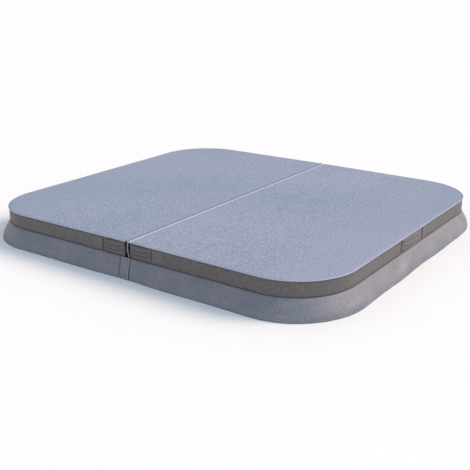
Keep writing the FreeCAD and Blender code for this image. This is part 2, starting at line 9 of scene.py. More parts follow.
import bmesh
import bpy
import numpy as np
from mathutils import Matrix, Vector


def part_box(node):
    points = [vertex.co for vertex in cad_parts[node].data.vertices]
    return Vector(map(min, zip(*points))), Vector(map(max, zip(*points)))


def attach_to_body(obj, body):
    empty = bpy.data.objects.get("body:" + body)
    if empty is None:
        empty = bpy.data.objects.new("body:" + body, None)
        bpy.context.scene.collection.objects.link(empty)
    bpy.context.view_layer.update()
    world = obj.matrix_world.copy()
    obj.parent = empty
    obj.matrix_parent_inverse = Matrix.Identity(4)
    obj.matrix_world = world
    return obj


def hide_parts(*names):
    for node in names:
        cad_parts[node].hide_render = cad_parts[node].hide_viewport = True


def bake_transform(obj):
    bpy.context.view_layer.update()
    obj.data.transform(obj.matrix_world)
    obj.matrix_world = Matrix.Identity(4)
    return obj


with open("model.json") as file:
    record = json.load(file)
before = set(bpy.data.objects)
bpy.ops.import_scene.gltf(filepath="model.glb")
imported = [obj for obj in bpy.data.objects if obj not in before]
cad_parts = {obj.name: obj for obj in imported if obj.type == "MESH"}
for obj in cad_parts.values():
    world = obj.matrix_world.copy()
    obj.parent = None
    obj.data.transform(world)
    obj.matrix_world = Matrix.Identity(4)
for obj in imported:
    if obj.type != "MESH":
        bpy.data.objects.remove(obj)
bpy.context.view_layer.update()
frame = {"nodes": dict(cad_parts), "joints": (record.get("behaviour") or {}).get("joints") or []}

# ---------------------------------------------------------------- sizes, from the CAD
MM = 0.001
SIDES = {"left": -1, "right": 1}
ENDS = {"front": -1, "rear": 1}
band_low, band_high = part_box("side_band_right")
skin_low, skin_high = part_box("top_skin_right")
wall_low, wall_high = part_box("fold_wall_right")
corner_low, corner_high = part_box("skirt_corner_rear_right")
flap_low, flap_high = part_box("front_gap_flap")
seal_low, seal_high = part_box("steam_seal")
tape_low, tape_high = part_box("zip_tape_right")
chain_low, chain_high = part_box("zip_chain_right")
strap_low, strap_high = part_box("front_handle_right")
side_strap_low, side_strap_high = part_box("side_handle_right")
eyelet_low, eyelet_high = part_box("drain_eyelets_right")
HALF_W, HALF_D = band_high.x, band_high.y
UNDERSIDE = band_low.z
GAP = band_low.x
VINYL = wall_high.x - wall_low.x
CORNER = HALF_W - corner_low.x
FLARE = corner_high.x - HALF_W
SLOPE = (skin_high.z - skin_low.z - VINYL) / (HALF_W - skin_low.x)
FOLD_TOP = skin_high.z + SLOPE * skin_low.x
HINGE_Z = next(j for j in frame["joints"] if j["name"] == "fold_hinge")["pos_m"][2]
# Lengths round the outline of a half, from the front of its fold to the rear.
RUN = HALF_W - CORNER
BEND = CORNER * math.pi / 2
SIDE_RUN = 2 * (HALF_D - CORNER)
ROUND = 2 * RUN + 2 * BEND + SIDE_RUN
# The skirt's section: a straight slant, then a bend that turns it upright.
SLANT = math.radians(31)
BEND_HEIGHT = (UNDERSIDE * math.tan(SLANT) - FLARE) / (math.tan(SLANT) - math.tan(SLANT / 2))
SKIRT_BEND = BEND_HEIGHT / math.sin(SLANT)
STRAIGHT = (UNDERSIDE - BEND_HEIGHT) / math.cos(SLANT)
SKIRT_LENGTH = STRAIGHT + SKIRT_BEND * SLANT


def top_at(x):
    """Height of the sloping top."""
    return FOLD_TOP - SLOPE * np.abs(x)


# ---------------------------------------------------------------- camera, light and floor
FOCAL_PIXELS, IMAGE_PIXELS, SENSOR = 774.1, 470, 36.0
CAMERA_AT = Vector((2.3018, -3.3137, 1.3373))
CAMERA_AZIMUTH, CAMERA_ELEVATION = 35.186, 18.992


def aimed(name, data, azimuth, elevation):
    """A camera or lamp that looks in from an azimuth (0 is +X, 90 is +Y) and an elevation, in degrees."""
    a, e = math.radians(azimuth), math.radians(elevation)
    back = Vector((math.cos(a) * math.cos(e), math.sin(a) * math.cos(e), math.sin(e)))
    made = bpy.data.objects.new(name, data)
    made.rotation_mode = "QUATERNION"
    made.rotation_quaternion = (-back).to_track_quat("-Z", "Y")
    bpy.context.scene.collection.objects.link(made)
    return made


def sun(name, azimuth, elevation, strength, colour, softness):
    data = bpy.data.lights.new(name, "SUN")
    data.energy = strength
    data.color = colour
    data.angle = math.radians(softness)
    aimed(name, data, azimuth, elevation)


camera = aimed("camera", bpy.data.cameras.new("camera"), CAMERA_AZIMUTH - 90, CAMERA_ELEVATION)
camera.location = CAMERA_AT
camera.data.sensor_width = SENSOR
camera.data.lens = FOCAL_PIXELS / IMAGE_PIXELS * SENSOR
camera.data.clip_end = 200
bpy.context.scene.camera = camera
bpy.context.scene.view_settings.view_transform = "Standard"
sun("key", 38, 36, 2.95, (1.0, 0.83, 0.70), 30)
sun("fill", -36, 20, 1.0, (0.42, 0.72, 1.0), 50)

world = bpy.data.worlds.new("studio")
bpy.context.scene.world = world
world.use_nodes = True
world_nodes, world_links = world.node_tree.nodes, world.node_tree.links
direction = world_nodes.new("ShaderNodeTexCoord")
upright = world_nodes.new("ShaderNodeSeparateXYZ")
sky = world_nodes.new("ShaderNodeValToRGB")
world_links.new(direction.outputs["Generated"], upright.inputs[0])
world_links.new(upright.outputs["Z"], sky.inputs[0])
world_links.new(sky.outputs["Color"], world_nodes["Background"].inputs["Color"])
sky.color_ramp.elements[0].position = 0.0
sky.color_ramp.elements[0].color = (0.97, 0.96, 0.95, 1)
sky.color_ramp.elements[1].position = 0.45
sky.color_ramp.elements[1].color = (0.50, 0.53, 0.60, 1)
sky.color_ramp.elements.new(0.05).color = (0.93, 0.96, 1.0, 1)

# ---------------------------------------------------------------- materials
GRAIN_SIZE = 1.3 * MM
SPECKLE_SIZE = 7 * MM
# Scale of a wave texture whose bands are one metre apart.
WAVE_SCALE = 0.314


class Graph:
    """The nodes of a new material."""

    def __init__(self, name):
        self.material = bpy.data.materials.new(name)
        self.material.use_nodes = True
        self.tree = self.material.node_tree
        self.where = self.tree.nodes.new("ShaderNodeTexCoord").outputs["Object"]

    def fill(self, node, inputs):
        """Sets each input, by name or number, to a number or a colour, or links a socket to it."""
        for key, value in inputs.items():
            if isinstance(value, bpy.types.NodeSocket):
                self.tree.links.new(value, node.inputs[key])
            else:
                node.inputs[key].default_value = value

    def add(self, kind, inputs, **settings):
        node = self.tree.nodes.new(f"ShaderNode{kind}")
        for key, value in settings.items():
            setattr(node, key, value)
        self.fill(node, inputs)
        return node.outputs

    def noise(self, size, **inputs):
        return self.add("TexNoise", {"Vector": self.where, "Scale": 1 / size, **inputs})["Fac"]

    def maths(self, operation, *terms):
        return self.add("Math", dict(enumerate(terms)), operation=operation)[0]

    def multiply(self, factor, a, b):
        return self.add("Mix", {0: factor, 6: a, 7: b}, data_type="RGBA", blend_type="MULTIPLY")[2]

    def ramp(self, factor, colours, places=(0.0, 1.0)):
        output = self.add("ValToRGB", {0: factor})["Color"]
        for element, colour, place in zip(output.node.color_ramp.elements, colours, places):
            element.position = place
            element.color = (*colour, 1)
        return output

    def finished(self, strength, distance, height, inputs):
        """The material, with its shader's inputs set and a bump of the given height on it."""
        bump = self.add("Bump", {"Strength": strength, "Distance": distance, "Height": height})
        self.fill(self.tree.nodes["Principled BSDF"], {"Normal": bump["Normal"], **inputs})
        return self.material


def vinyl(
    name, colour, tint=None, rough=0.5, grain=0.3, speckle=0.5, clouds=0.05, cloud_size=0.22, gloss=0.45
):
    """Coated cloth: a pebbled grain, a fine speckle, and slow clouds towards tint."""
    graph = Graph(name)
    cloud = graph.noise(cloud_size, Detail=3.0, Roughness=0.55)
    fleck = graph.noise(SPECKLE_SIZE, Detail=3.0, Roughness=0.7)
    pebble = graph.add("TexVoronoi", {"Vector": graph.where, "Scale": 1 / GRAIN_SIZE})["Distance"]
    fine = graph.noise(0.6 * GRAIN_SIZE, Detail=2.0)
    shade = graph.maths("MULTIPLY_ADD", graph.maths("SUBTRACT", cloud, 0.5), 2 * clouds, 1.0)
    flecked = graph.maths("MULTIPLY_ADD", graph.maths("SUBTRACT", fleck, 0.5), 2 * speckle, shade)
    cells = graph.maths("MULTIPLY_ADD", pebble, -0.12, flecked)
    grey = graph.add("CombineColor", {0: cells, 1: cells, 2: cells})[0]
    clouded = graph.ramp(cloud, (colour, tint or colour), (0.35, 0.68))
    shader = {
        "Base Color": graph.multiply(1.0, clouded, grey),
        "Roughness": graph.maths("MULTIPLY_ADD", cloud, 0.16, rough - 0.08),
        "Specular IOR Level": gloss,
    }
    height = graph.maths("MULTIPLY_ADD", fine, 0.5, pebble)
    return graph.finished(grain, 0.25 * GRAIN_SIZE, height, shader)


def woven(name, colour, thread, rough=0.85):
    """Cloth with crossing threads along X and Y, a little uneven in tone."""
    graph = Graph(name)
    wave = {"Vector": graph.where, "Scale": WAVE_SCALE / thread, "Distortion": 0.4, "Detail": 1.0}
    waves = [graph.add("TexWave", wave, bands_direction=axis)["Fac"] for axis in ("X", "Y")]
    cross = graph.maths("MULTIPLY", *waves)
    shades = [[min(c * factor, 1) for c in colour] for factor in (0.88, 1.12)]
    tone = graph.ramp(graph.noise(1 / 7.0, Detail=4.0), shades, (0.3, 0.7))
    shader = {"Base Color": graph.multiply(0.45, tone, cross), "Roughness": rough, "Specular IOR Level": 0.25}
    return graph.finished(0.5, 0.4 * thread, cross, shader)


def metal(name, colour, rough, scratch_size=0.6 * MM):
    """Metal with fine scratches and a patchy polish."""
    graph = Graph(name)
    wear = graph.noise(5 * scratch_size, Detail=5.0)
    tone = graph.ramp(wear, [[c * factor for c in colour] for factor in (0.78, 1.0)])
    polish = graph.add("MapRange", {"Value": wear, "To Min": rough * 0.7, "To Max": rough * 1.4})["Result"]
    shader = {"Base Color": tone, "Roughness": polish, "Metallic": 1.0}
    return graph.finished(0.15, 0.1 * scratch_size, wear, shader)


TOP_COLOUR, TOP_TINT = (0.262, 0.322, 0.425), (0.318, 0.345, 0.448)
SKIRT_COLOUR, SKIRT_TINT = (0.145, 0.152, 0.183), (0.176, 0.168, 0.188)
BAND_COLOUR, BAND_TINT = (0.107, 0.093, 0.088), (0.098, 0.088, 0.088)
top_vinyl = vinyl("top vinyl", TOP_COLOUR, TOP_TINT, rough=0.56, speckle=1.05, clouds=0.045, cloud_size=0.7)
skirt_vinyl = vinyl(
    "skirt vinyl", SKIRT_COLOUR, SKIRT_TINT, rough=0.52, speckle=0.65, clouds=0.14, cloud_size=0.11, gloss=0.7
)
band_vinyl = vinyl("band vinyl", BAND_COLOUR, BAND_TINT, speckle=0.9, clouds=0.16, cloud_size=0.05)
strap_vinyl = vinyl("strap vinyl", (0.112, 0.097, 0.088), BAND_TINT, rough=0.48, clouds=0.2, cloud_size=0.03)
# Paler than the patch vinyl, as a painted highlight on the patch's rolled edge by the slit.
lip_highlight_vinyl = vinyl("lip highlight vinyl", (0.21, 0.195, 0.185), rough=0.45, cloud_size=0.03)
patch_vinyl = vinyl("patch vinyl", (0.116, 0.103, 0.099), rough=0.52, clouds=0.14, cloud_size=0.03)
wall_vinyl = vinyl("fold wall vinyl", (0.04, 0.037, 0.037), rough=0.6, cloud_size=0.1)
# Near-black as painted shade for the seal inside the fold's gap; the seal's own vinyl is pale.
seal_vinyl = vinyl("seal shade vinyl", (0.07, 0.068, 0.07), cloud_size=0.06)
binding_vinyl = vinyl("binding vinyl", (0.32, 0.32, 0.34), rough=0.4, speckle=0.2)
# Paler than the top vinyl, as a painted highlight along the rim piping.
piping_highlight_vinyl = vinyl("piping highlight vinyl", (0.37, 0.41, 0.50), rough=0.4, grain=0.12, speckle=0.15)
# Near-white, as a painted highlight on the piping beside the fold.
fold_highlight_piping = vinyl("fold highlight piping", (0.62, 0.65, 0.72), rough=0.33, grain=0.12, speckle=0.15)
# A little darker than the top vinyl, as painted shade in the crease of the fold.
welt_shade_vinyl = vinyl("welt shade vinyl", (0.25, 0.295, 0.375), rough=0.45, grain=0.12, speckle=0.15)
# Paler than the skirt vinyl, as a painted highlight along the flap's free edge.
flap_highlight_vinyl = vinyl("flap highlight vinyl", (0.30, 0.31, 0.36), rough=0.45, speckle=0.2)
# Dark, as painted shade under the rolled lower edge of the hem.
hem_shade_vinyl = vinyl("hem shade vinyl", (0.075, 0.082, 0.102), rough=0.55, speckle=0.4)
# Near-black, as painted shadow lines under the piping and between the band and the skirt.
shadow_cord_vinyl = vinyl("shadow cord vinyl", (0.06, 0.062, 0.072), rough=0.6, speckle=0.2)
# Near-black, as painted shade in the strap slits and the drain holes.
hollow_shade_vinyl = vinyl("painted hollow shade", (0.016, 0.015, 0.016), rough=0.8)
thread_cloth = woven("thread", (0.24, 0.245, 0.27), 0.35 * MM, rough=0.6)
dark_thread = woven("dark thread", (0.11, 0.10, 0.098), 0.35 * MM, rough=0.6)
liner_cloth = woven("liner cloth", (0.30, 0.31, 0.33), 1.4 * MM)
seam_cloth = woven("liner seam cloth", (0.20, 0.205, 0.22), 1.1 * MM)
webbing_cloth = woven("webbing", (0.03, 0.03, 0.033), 1.1 * MM)
tape_cloth = woven("zip tape cloth", (0.035, 0.035, 0.04), 0.7 * MM)
coil_plastic = vinyl("zip coil", (0.028, 0.028, 0.03), rough=0.35, grain=0.05)
brass = metal("eyelet brass", (0.78, 0.58, 0.27), 0.3)
steel = metal("galvanised steel", (0.62, 0.64, 0.66), 0.42, 4 * MM)
zip_steel = metal("zip metal", (0.62, 0.63, 0.65), 0.28)
floor_paint = vinyl("floor", (0.965, 0.97, 0.96), rough=0.8, grain=0.02, speckle=0.02, clouds=0.01)

# ---------------------------------------------------------------- mesh helpers
UP, DOWN = np.array([0, 0, 1.0]), np.array([0, 0, -1.0])


def mm(*values):
    return np.array(values) * MM


def swell(u, v, size, seed, waves=8):
    """Smooth unevenness from about -1 to 1 over two coordinates, with features about size across."""
    rng = np.random.default_rng(seed)
    total = np.zeros(np.broadcast(u, v).shape)
    for _ in range(waves):
        turn, phase = rng.uniform(0, 2 * math.pi, 2)
        pace = 2 * math.pi / (size * rng.uniform(1.3, 3.0))
        total += np.sin((u * math.cos(turn) + v * math.sin(turn)) * pace + phase)
    return total * 1.5 / waves


def ease(t):
    t = np.clip(t, 0, 1)
    return t * t * (3 - 2 * t)


def hump(distance, width):
    """A smooth rise to 1 at no distance."""
    return np.exp(-((distance / width) ** 2))


def closing(distance, size, least=0.04):
    """Width of a rounded end, as a share, at a distance from its tip."""
    return np.sqrt(np.clip(distance / size, least, 1))


def from_ends(s):
    return np.minimum(s - s[0], s[-1] - s)


def circle(count):
    return np.linspace(0, 2 * math.pi, count, endpoint=False)


def spread(*parts):
    """Coordinates of any shapes that fit together, as points."""
    return np.stack(np.broadcast_arrays(*parts), -1)


def both_ways(ends, middle):
    """Values that run through -ends, the middle and back through ends, for the outline of a half."""
    return np.concatenate([-ends, middle, ends[::-1]])


def grid_faces(rows, columns, first=0, wrap=False):
    """Quads over points numbered row by row; wrap joins the last column to the first one."""
    r = np.arange(rows - 1)[:, None]
    c = np.arange(columns if wrap else columns - 1)[None, :]
    after = (c + 1) % columns
    corners = (r * columns + c, r * columns + after, (r + 1) * columns + after, (r + 1) * columns + c)
    return spread(*corners).reshape(-1, 4) + first


def piece(name, points, faces, material, sharp=50):
    """A smooth-shaded mesh with its faces turned outward and its stray points removed."""
    mesh = bpy.data.meshes.new(name)
    mesh.from_pydata(np.asarray(points).reshape(-1, 3).tolist(), [], [list(map(int, f)) for f in faces])
    work = bmesh.new()
    work.from_mesh(mesh)
    bmesh.ops.remove_doubles(work, verts=work.verts, dist=1e-6)
    bmesh.ops.recalc_face_normals(work, faces=work.faces)
    work.to_mesh(mesh)
    work.free()
    mesh.shade_smooth()
    mesh.set_sharp_from_angle(angle=math.radians(sharp))
    mesh.materials.append(material)
    made = bpy.data.objects.new(name, mesh)
    bpy.context.scene.collection.objects.link(made)
    return made


def shell(name, outer, inner, material, sharp=50):
    """A closed sheet between two grids of the same size."""
    rows, columns = outer.shape[:2]
    count = rows * columns
    index = np.arange(count).reshape(rows, columns)
    loop = np.concatenate([index[0, :-1], index[:-1, -1], index[-1, :0:-1], index[:0:-1, 0]])
    after = np.roll(loop, -1)
    rim = np.stack([loop, after, after + count, loop + count], -1)
    faces = np.concatenate([grid_faces(rows, columns), grid_faces(rows, columns, count), rim])
    points = np.concatenate([outer.reshape(-1, 3), inner.reshape(-1, 3)])
    return piece(name, points, faces, material, sharp)


def tubes(name, stacks, material, sharp):
    """Many closed tubes as one mesh; each is a stack of rings, capped at both ends."""
    count, rings, sides = stacks.shape[:3]
    firsts = np.arange(count)[:, None] * rings * sides
    quads = (grid_faces(rings, sides, wrap=True) + firsts[..., None]).reshape(-1, 4)
    caps = firsts + np.arange(sides)
    faces = [*quads, *caps, *(caps + (rings - 1) * sides)]
    return piece(name, stacks, faces, material, sharp)


def tube(name, rings, material, sharp=60):
    return tubes(name, rings[None], material, sharp)


def rings_piece(name, rings, material):
    """Rings as one mesh; each is a closed section carried round a closed loop."""
    rings = np.stack(rings)
    index = np.arange(rings[..., 0].size).reshape(rings.shape[:3])
    below = np.roll(index, -1, 1)
    faces = np.stack([index, np.roll(index, -1, 2), np.roll(below, -1, 2), below], -1)
    return piece(name, rings, faces.reshape(-1, 4), material, sharp=60)


def attach(made, body, slot, *replaced):
    """Ties a piece to its body and hides the CAD nodes that it stands in for; slot is not used."""
    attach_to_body(made, body)
    if replaced:
        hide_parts(*replaced)


def mirrored(points, side):
    return points * np.array([side, 1, 1])


def along_outline(s, reach=0.0, side=1):
    """Plan points and outward normals of a half's outline, moved outward by reach.

    s is the distance from the fold's front end, measured round the outline itself.
    """
    first = np.clip((s - RUN) / CORNER, 0, math.pi / 2)
    second = np.clip((s - RUN - BEND - SIDE_RUN) / CORNER, 0, math.pi / 2)
    angle = first + second - math.pi / 2
    normal = np.stack([np.cos(angle), np.sin(angle)], -1)
    x = np.minimum(s, RUN) - np.maximum(s - RUN - 2 * BEND - SIDE_RUN, 0)
    y = CORNER - HALF_D + np.clip(s - RUN - BEND, 0, SIDE_RUN)
    point = np.stack([x, y], -1) + normal * (CORNER + np.asarray(reach)[..., None])
    flip = np.array([side, 1])
    return point * flip, normal * flip


def stations(start, step, near_ends=()):
    """Distances round the outline from start to as far from its end, about a step apart.

    Its corners and the marks at the listed distances from each end are kept.
    """
    stop = ROUND - start
    marks = {start, stop, *(start + k for k in near_ends), *(stop - k for k in near_ends)}
    marks |= {m for m in (RUN, RUN + BEND, RUN + BEND + SIDE_RUN, ROUND - RUN) if start < m < stop}
    marks = sorted(marks)
    spans = [np.linspace(a, b, max(2, math.ceil((b - a) / step) + 1))[:-1] for a, b in zip(marks, marks[1:])]
    return np.concatenate([*spans, [stop]])


def raised(plan, heights):
    return np.concatenate([plan, np.broadcast_to(heights, plan.shape[:-1])[..., None]], -1)


def beading(name, s, side, out, high, radius, sides, material):
    """A tube round the outline; its reach, height and radius are arrays over s or numbers."""
    plan, normal = along_outline(s, 0.0, side)
    out, high, radius = (np.broadcast_to(v, s.shape)[:, None] for v in (out, high, radius))
    reach = out + radius * np.cos(circle(sides))
    rings = raised(plan[:, None] + normal[:, None] * reach[..., None], high + radius * np.sin(circle(sides)))
    return tube(name, rings, material)


threads = {name: [] for name in ("left", "right", "dark_left", "dark_right")}
STITCH_SIDES = 5


def stitch(store, line, normals, pitch=6.5 * MM, length=4.6 * MM, radius=0.5 * MM, lift=0.15 * MM):
    """A row of stitches laid along a line of points on a surface."""
    normals = np.broadcast_to(normals, line.shape)
    steps = np.linalg.norm(np.diff(line, axis=0), axis=1)
    at = np.concatenate([[0], np.cumsum(steps)])
    spots = np.arange(pitch / 2, at[-1] - pitch / 4, pitch)
    if not len(spots):
        return

    def sample(values, where):
        return np.stack([np.interp(where, at, values[:, k]) for k in range(3)], -1)

    centre, up = sample(line, spots), sample(normals, spots)
    up /= np.linalg.norm(up, axis=1, keepdims=True)
    ahead = sample(line, spots + length / 2) - sample(line, spots - length / 2)
    ahead /= np.maximum(np.linalg.norm(ahead, axis=1, keepdims=True), 1e-9)
    across = np.cross(ahead, up)
    turn = circle(STITCH_SIDES)[:, None]
    section = up[:, None] * np.cos(turn) + across[:, None] * np.sin(turn)
    rings = []
    for share, width in ((-0.5, 0.25), (-0.3, 1.0), (0.3, 1.0), (0.5, 0.25)):
        sink = -0.4 * radius if width < 1 else lift
        middle = centre + ahead * share * length + up * sink
        rings.append(middle[:, None] + section * radius * width)
    store.append(np.stack(rings, 1))


# ---------------------------------------------------------------- top panels
EDGE_ROLL = 14 * MM
WELT_GAP = 2.6 * MM
# Outward reach and drop, in mm, of the rings that roll over the outer edge.
ROLL_SECTION = (
    (3, 0.05), (6, 0.25), (9, 0.7), (11.5, 1.35), (13.0, 2.2), (13.2, 3.0), (11.8, 4.2), (10.6, 9.0),
)


def rows_across(inset, corner_count, middle_count):
    """Rows of a half from front to rear: its corner angles, its straight rows, every y, and the edge's x."""
    sweep = np.linspace(math.pi / 2, 0, corner_count)
    reach = CORNER - inset
    middle = np.linspace(CORNER - HALF_D, HALF_D - CORNER, middle_count)[1:-1]
    y = both_ways(HALF_D - CORNER + reach * np.sin(sweep), middle)
    corner_x = RUN + reach * np.cos(sweep)
    edge = np.concatenate([corner_x, np.full(middle.size, HALF_W - inset), corner_x[::-1]])
    return sweep, middle, y, edge


def top_height(x, y, side):
    """The drawn-tight top: the slope, the foam's slow unevenness, and a sag over the fold."""
    away = np.abs(x)
    slow = 0.55 * MM * swell(x, y, 0.30, 11 + side) + 0.18 * MM * swell(x, y, 0.07, 17 + side)
    sag = -0.7 * MM * hump(away - 11 * MM, 5 * MM)
    ridge = 0.5 * MM * hump(away - 24 * MM, 9 * MM)
    pucker = 0.12 * MM * np.sin(y / (9 * MM)) * hump(away, 7 * MM)
    return top_at(x) + slow * ease((away - 20 * MM) / 0.08) + sag + ridge + pucker


def panel_floor(x):
    """Underside of the padded panel: the skin alone over the fold, the foam's own beyond it."""
    return np.where(x < GAP + VINYL, top_at(x) - VINYL - 0.9 * MM, UNDERSIDE + 1.5 * MM)


def top_panel(name, side):
    """A padded half: its top, the rings that roll over its outer edge, its floor and its fold face."""
    sweep, middle, y, edge = rows_across(EDGE_ROLL, 30, 60)
    step = GAP + VINYL + mm(-0.1, 0.1)
    near = np.concatenate([mm(0, 0.5, 1.1, 2.0, 3.3, 5.2, 8.0, 11.0) + WELT_GAP, step, mm(24, 30, 38)])
    share = np.linspace(0, 1, 54)[1:]
    beyond = near[-1] + (edge[:, None] - near[-1]) * share
    x = np.concatenate([np.broadcast_to(near, (y.size, near.size)), beyond], 1)
    y = y[:, None] + 0 * x
    lip = np.clip(1 - (x - WELT_GAP) / (3.3 * MM), 0, 1)
    top = np.stack([x, y, top_height(x, y, side) - 2.6 * MM * lip**2], -1).reshape(-1, 3)
    bottom = np.stack([x, y, panel_floor(x)], -1).reshape(-1, 3)
    rows, columns = x.shape
    index = np.arange(rows * columns).reshape(rows, columns)
    loop = np.concatenate([index[0, :], index[1:-1, -1], index[-1, ::-1]])
    border = top[loop]
    border_floor = panel_floor(border[:, 0])
    angle = both_ways(np.concatenate([np.full(columns, math.pi / 2), sweep[1:]]), np.zeros(middle.size))
    normal = np.stack([np.cos(angle), np.sin(angle)], -1)
    rings = []
    for reach, drop in ROLL_SECTION:
        height = np.maximum(border[:, 2] - drop * MM, border_floor + 0.2 * MM)
        rings.append(raised(border[:, :2] + normal * reach * MM, height))
    rings.append(raised(rings[-1][:, :2], border_floor))
    rolled = index.size + np.arange(len(rings) * loop.size).reshape(len(rings), loop.size)
    below = index.size + rolled.size
    loops = np.vstack([loop, rolled, loop + below])
    outside = np.stack([loops[:-1, :-1], loops[:-1, 1:], loops[1:, 1:], loops[1:, :-1]], -1)
    fold = np.stack([index[:-1, 0], index[1:, 0], index[1:, 0] + below, index[:-1, 0] + below], -1)
    faces = [*grid_faces(rows, columns), *outside.reshape(-1, 4), *fold, *grid_faces(rows, columns, below)]
    faces += [loops[:, 0], loops[:, -1]]
    points = np.concatenate([top, *rings, bottom])
    made = piece(f"panel_{name}", mirrored(points, side), faces, top_vinyl, sharp=70)
    attach(made, f"{name}_half", "top_vinyl", f"top_skin_{name}", f"foam_core_{name}", f"vapour_wrap_{name}")


for name, side in SIDES.items():
    top_panel(name, side)

# ---------------------------------------------------------------- rim piping
PIPING = 2.2 * MM


def piping(name, side):
    """The piping between the top and the band, coloured paler than the top as a painted highlight; its ends
    are thinner and tucked down.
    """
    s = stations(5 * MM, 9 * MM, mm(3, 6))
    plan, _ = along_outline(s)
    tail = 1 - ease(from_ends(s) / (12 * MM))
    radius = PIPING * (1 + 0.05 * swell(s, 0, 0.02, 31)) * (1 - 0.35 * tail)
    out = 2.35 * MM + 0.25 * MM * swell(s, 0, 0.12, 33 + side)
    high = top_at(plan[:, 0]) - PIPING + 0.25 * MM * swell(s, 0, 0.2, 37 + side) - 1.5 * MM * tail
    made = beading(f"piping_{name}", s, side, out, high, radius, 12, piping_highlight_vinyl)
    attach(made, f"{name}_half", "piping", f"rim_piping_{name}")


for name, side in SIDES.items():
    piping(name, side)

# ---------------------------------------------------------------- side bands
FOLD_ROUND = 8 * MM


def with_fold_corners(s, reach, side):
    """Plan points of the band, with its ends turned round the fold corners."""
    turn = np.linspace(0, math.pi / 2, 7)[:-1]
    corners = []
    for end, rim in ((-1, reach[0]), (1, reach[-1])):
        out = np.stack([-np.cos(turn) * side, end * np.sin(turn)], -1)
        centre = np.array([side * (GAP + FOLD_ROUND), end * (HALF_D - FOLD_ROUND)])
        corners.append(centre + out[:, None] * (FOLD_ROUND + rim)[None, :, None])
    return np.concatenate([corners[0], along_outline(s[:, None], reach, side)[0], corners[1][::-1]])


def band_top(s):
    """Height of the band's upper edge."""
    return top_at(along_outline(s)[0][..., 0]) - 1.6 * MM


def band_face(s, z, side):
    """How far the band's cloth stands out from the outline: full in the middle, tucked at its seams."""
    rise = np.clip((z - UNDERSIDE) / (band_top(s) - UNDERSIDE), 0, 1)
    foot = -2.4 * MM * hump(rise, 0.035)
    head = -3.0 * MM * hump(1 - rise, 0.045)
    wave = 0.75 * MM * swell(s, z, 0.11, 41 + side) + 0.25 * MM * swell(s, z, 0.035, 43)
    return 0.2 * MM + (0.7 * MM + wave) * np.sin(math.pi * rise) + foot + head


def side_band(name, side):
    """The band, with its stitching, and dark cords above and below it as painted shadow lines under the
    piping and between the band and the skirt.
    """
    body = f"{name}_half"
    s = stations(GAP + FOLD_ROUND, 12 * MM)
    high = band_top(s)
    rise = np.array([0, 0.02, 0.045, 0.09, 0.2, 0.35, 0.5, 0.65, 0.8, 0.89, 0.93, 0.96, 0.98, 1.0])
    z = UNDERSIDE + (high - UNDERSIDE)[:, None] * rise
    reach = band_face(s[:, None] + 0 * z, z, side)
    outer, inner = (with_fold_corners(s, reach - depth, side) for depth in (0, VINYL))
    ends = np.ones(6)[:, None]
    z = np.concatenate([z[:1] * ends, z, z[-1:] * ends])
    made = shell(f"band_{name}", raised(outer, z), raised(inner, z), band_vinyl)
    attach(made, body, "band_vinyl", f"side_band_{name}")
    for height in (UNDERSIDE + 6 * MM + 0 * s, high - 9 * MM):
        line, normal = along_outline(s, band_face(s, height, side), side)
        stitch(threads[f"dark_{name}"], raised(line, height), raised(normal, 0.0))
    # Dark cords as painted shadow lines: under the piping, and at the band's foot over the skirt.
    rim_shadow_cord = (f"rim_shadow_cord_{name}", 1.0 * MM, high - 4.6 * MM, 1.7 * MM)
    band_shadow_cord = (f"band_shadow_cord_{name}", 0.2 * MM, UNDERSIDE + 0.6 * MM, 1.2 * MM)
    for cord_name, out, level, radius in (rim_shadow_cord, band_shadow_cord):
        radius = radius * closing(from_ends(s), 3 * MM)
        attach(beading(cord_name, s, side, out, level, radius, 8, shadow_cord_vinyl), body, "band_vinyl")


for name, side in SIDES.items():
    side_band(name, side)

# ---------------------------------------------------------------- fold walls


def fold_wall(name, side):
    reach_y = HALF_D - FOLD_ROUND
    y = np.linspace(-reach_y, reach_y, 150)[:, None]
    rise = np.array([0, 0.03, 0.1, 0.25, 0.5, 0.75, 0.9, 1.0])
    z = UNDERSIDE + (FOLD_TOP - 3.0 * MM - UNDERSIDE) * rise
    bulge = np.sin(math.pi * rise) * (0.9 * MM + 0.6 * MM * swell(y, z, 0.15, 51 + side))
    outer = spread(GAP - bulge * 0.8, y, z)
    inner = outer + np.array([VINYL, 0, 0])
    made = shell(f"fold_face_{name}", mirrored(outer, side), mirrored(inner, side), wall_vinyl)
    attach(made, f"{name}_half", "fold_wall_vinyl", f"fold_wall_{name}")


for name, side in SIDES.items():
    fold_wall(name, side)

# ---------------------------------------------------------------- skirt
HEM = 12 * MM
SKIRT_ROWS = 26
PULL = 8 * MM
LEAN = 15 * MM
GROUND_GAP = 0.4 * MM
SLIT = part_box("skirt_front_right")[0].x
SEAM = -flap_low.x
SKIRT_PARTS = ("side", "front", "rear", "corner_front", "corner_rear")


def skirt_profile():
    """Share, reach, height and outward tilt down the skirt: a straight slant, then a bend to the hem."""
    t = np.linspace(0, 1, SKIRT_ROWS)
    run = t * SKIRT_LENGTH
    straight = np.minimum(run, STRAIGHT)
    angle = SLANT - np.maximum(run - STRAIGHT, 0) / SKIRT_BEND
    reach = straight * math.sin(SLANT) + SKIRT_BEND * (np.cos(angle) - math.cos(SLANT))
    z = UNDERSIDE - straight * math.cos(SLANT) - SKIRT_BEND * (math.sin(SLANT) - np.sin(angle))
    return t, reach, z, angle


def drawn_in(x, t):
    """How far the skirt hangs inside its line beside the fold, where nothing holds it out."""
    return PULL * hump(x, 0.13) * ease(t * 1.1)


def leaning(t, share):
    """Sideways lean of the front skirt beside the fold; share is 0 at its seam and 1 at its slit."""
    return LEAN * (t - 0.45 * (1 - share))


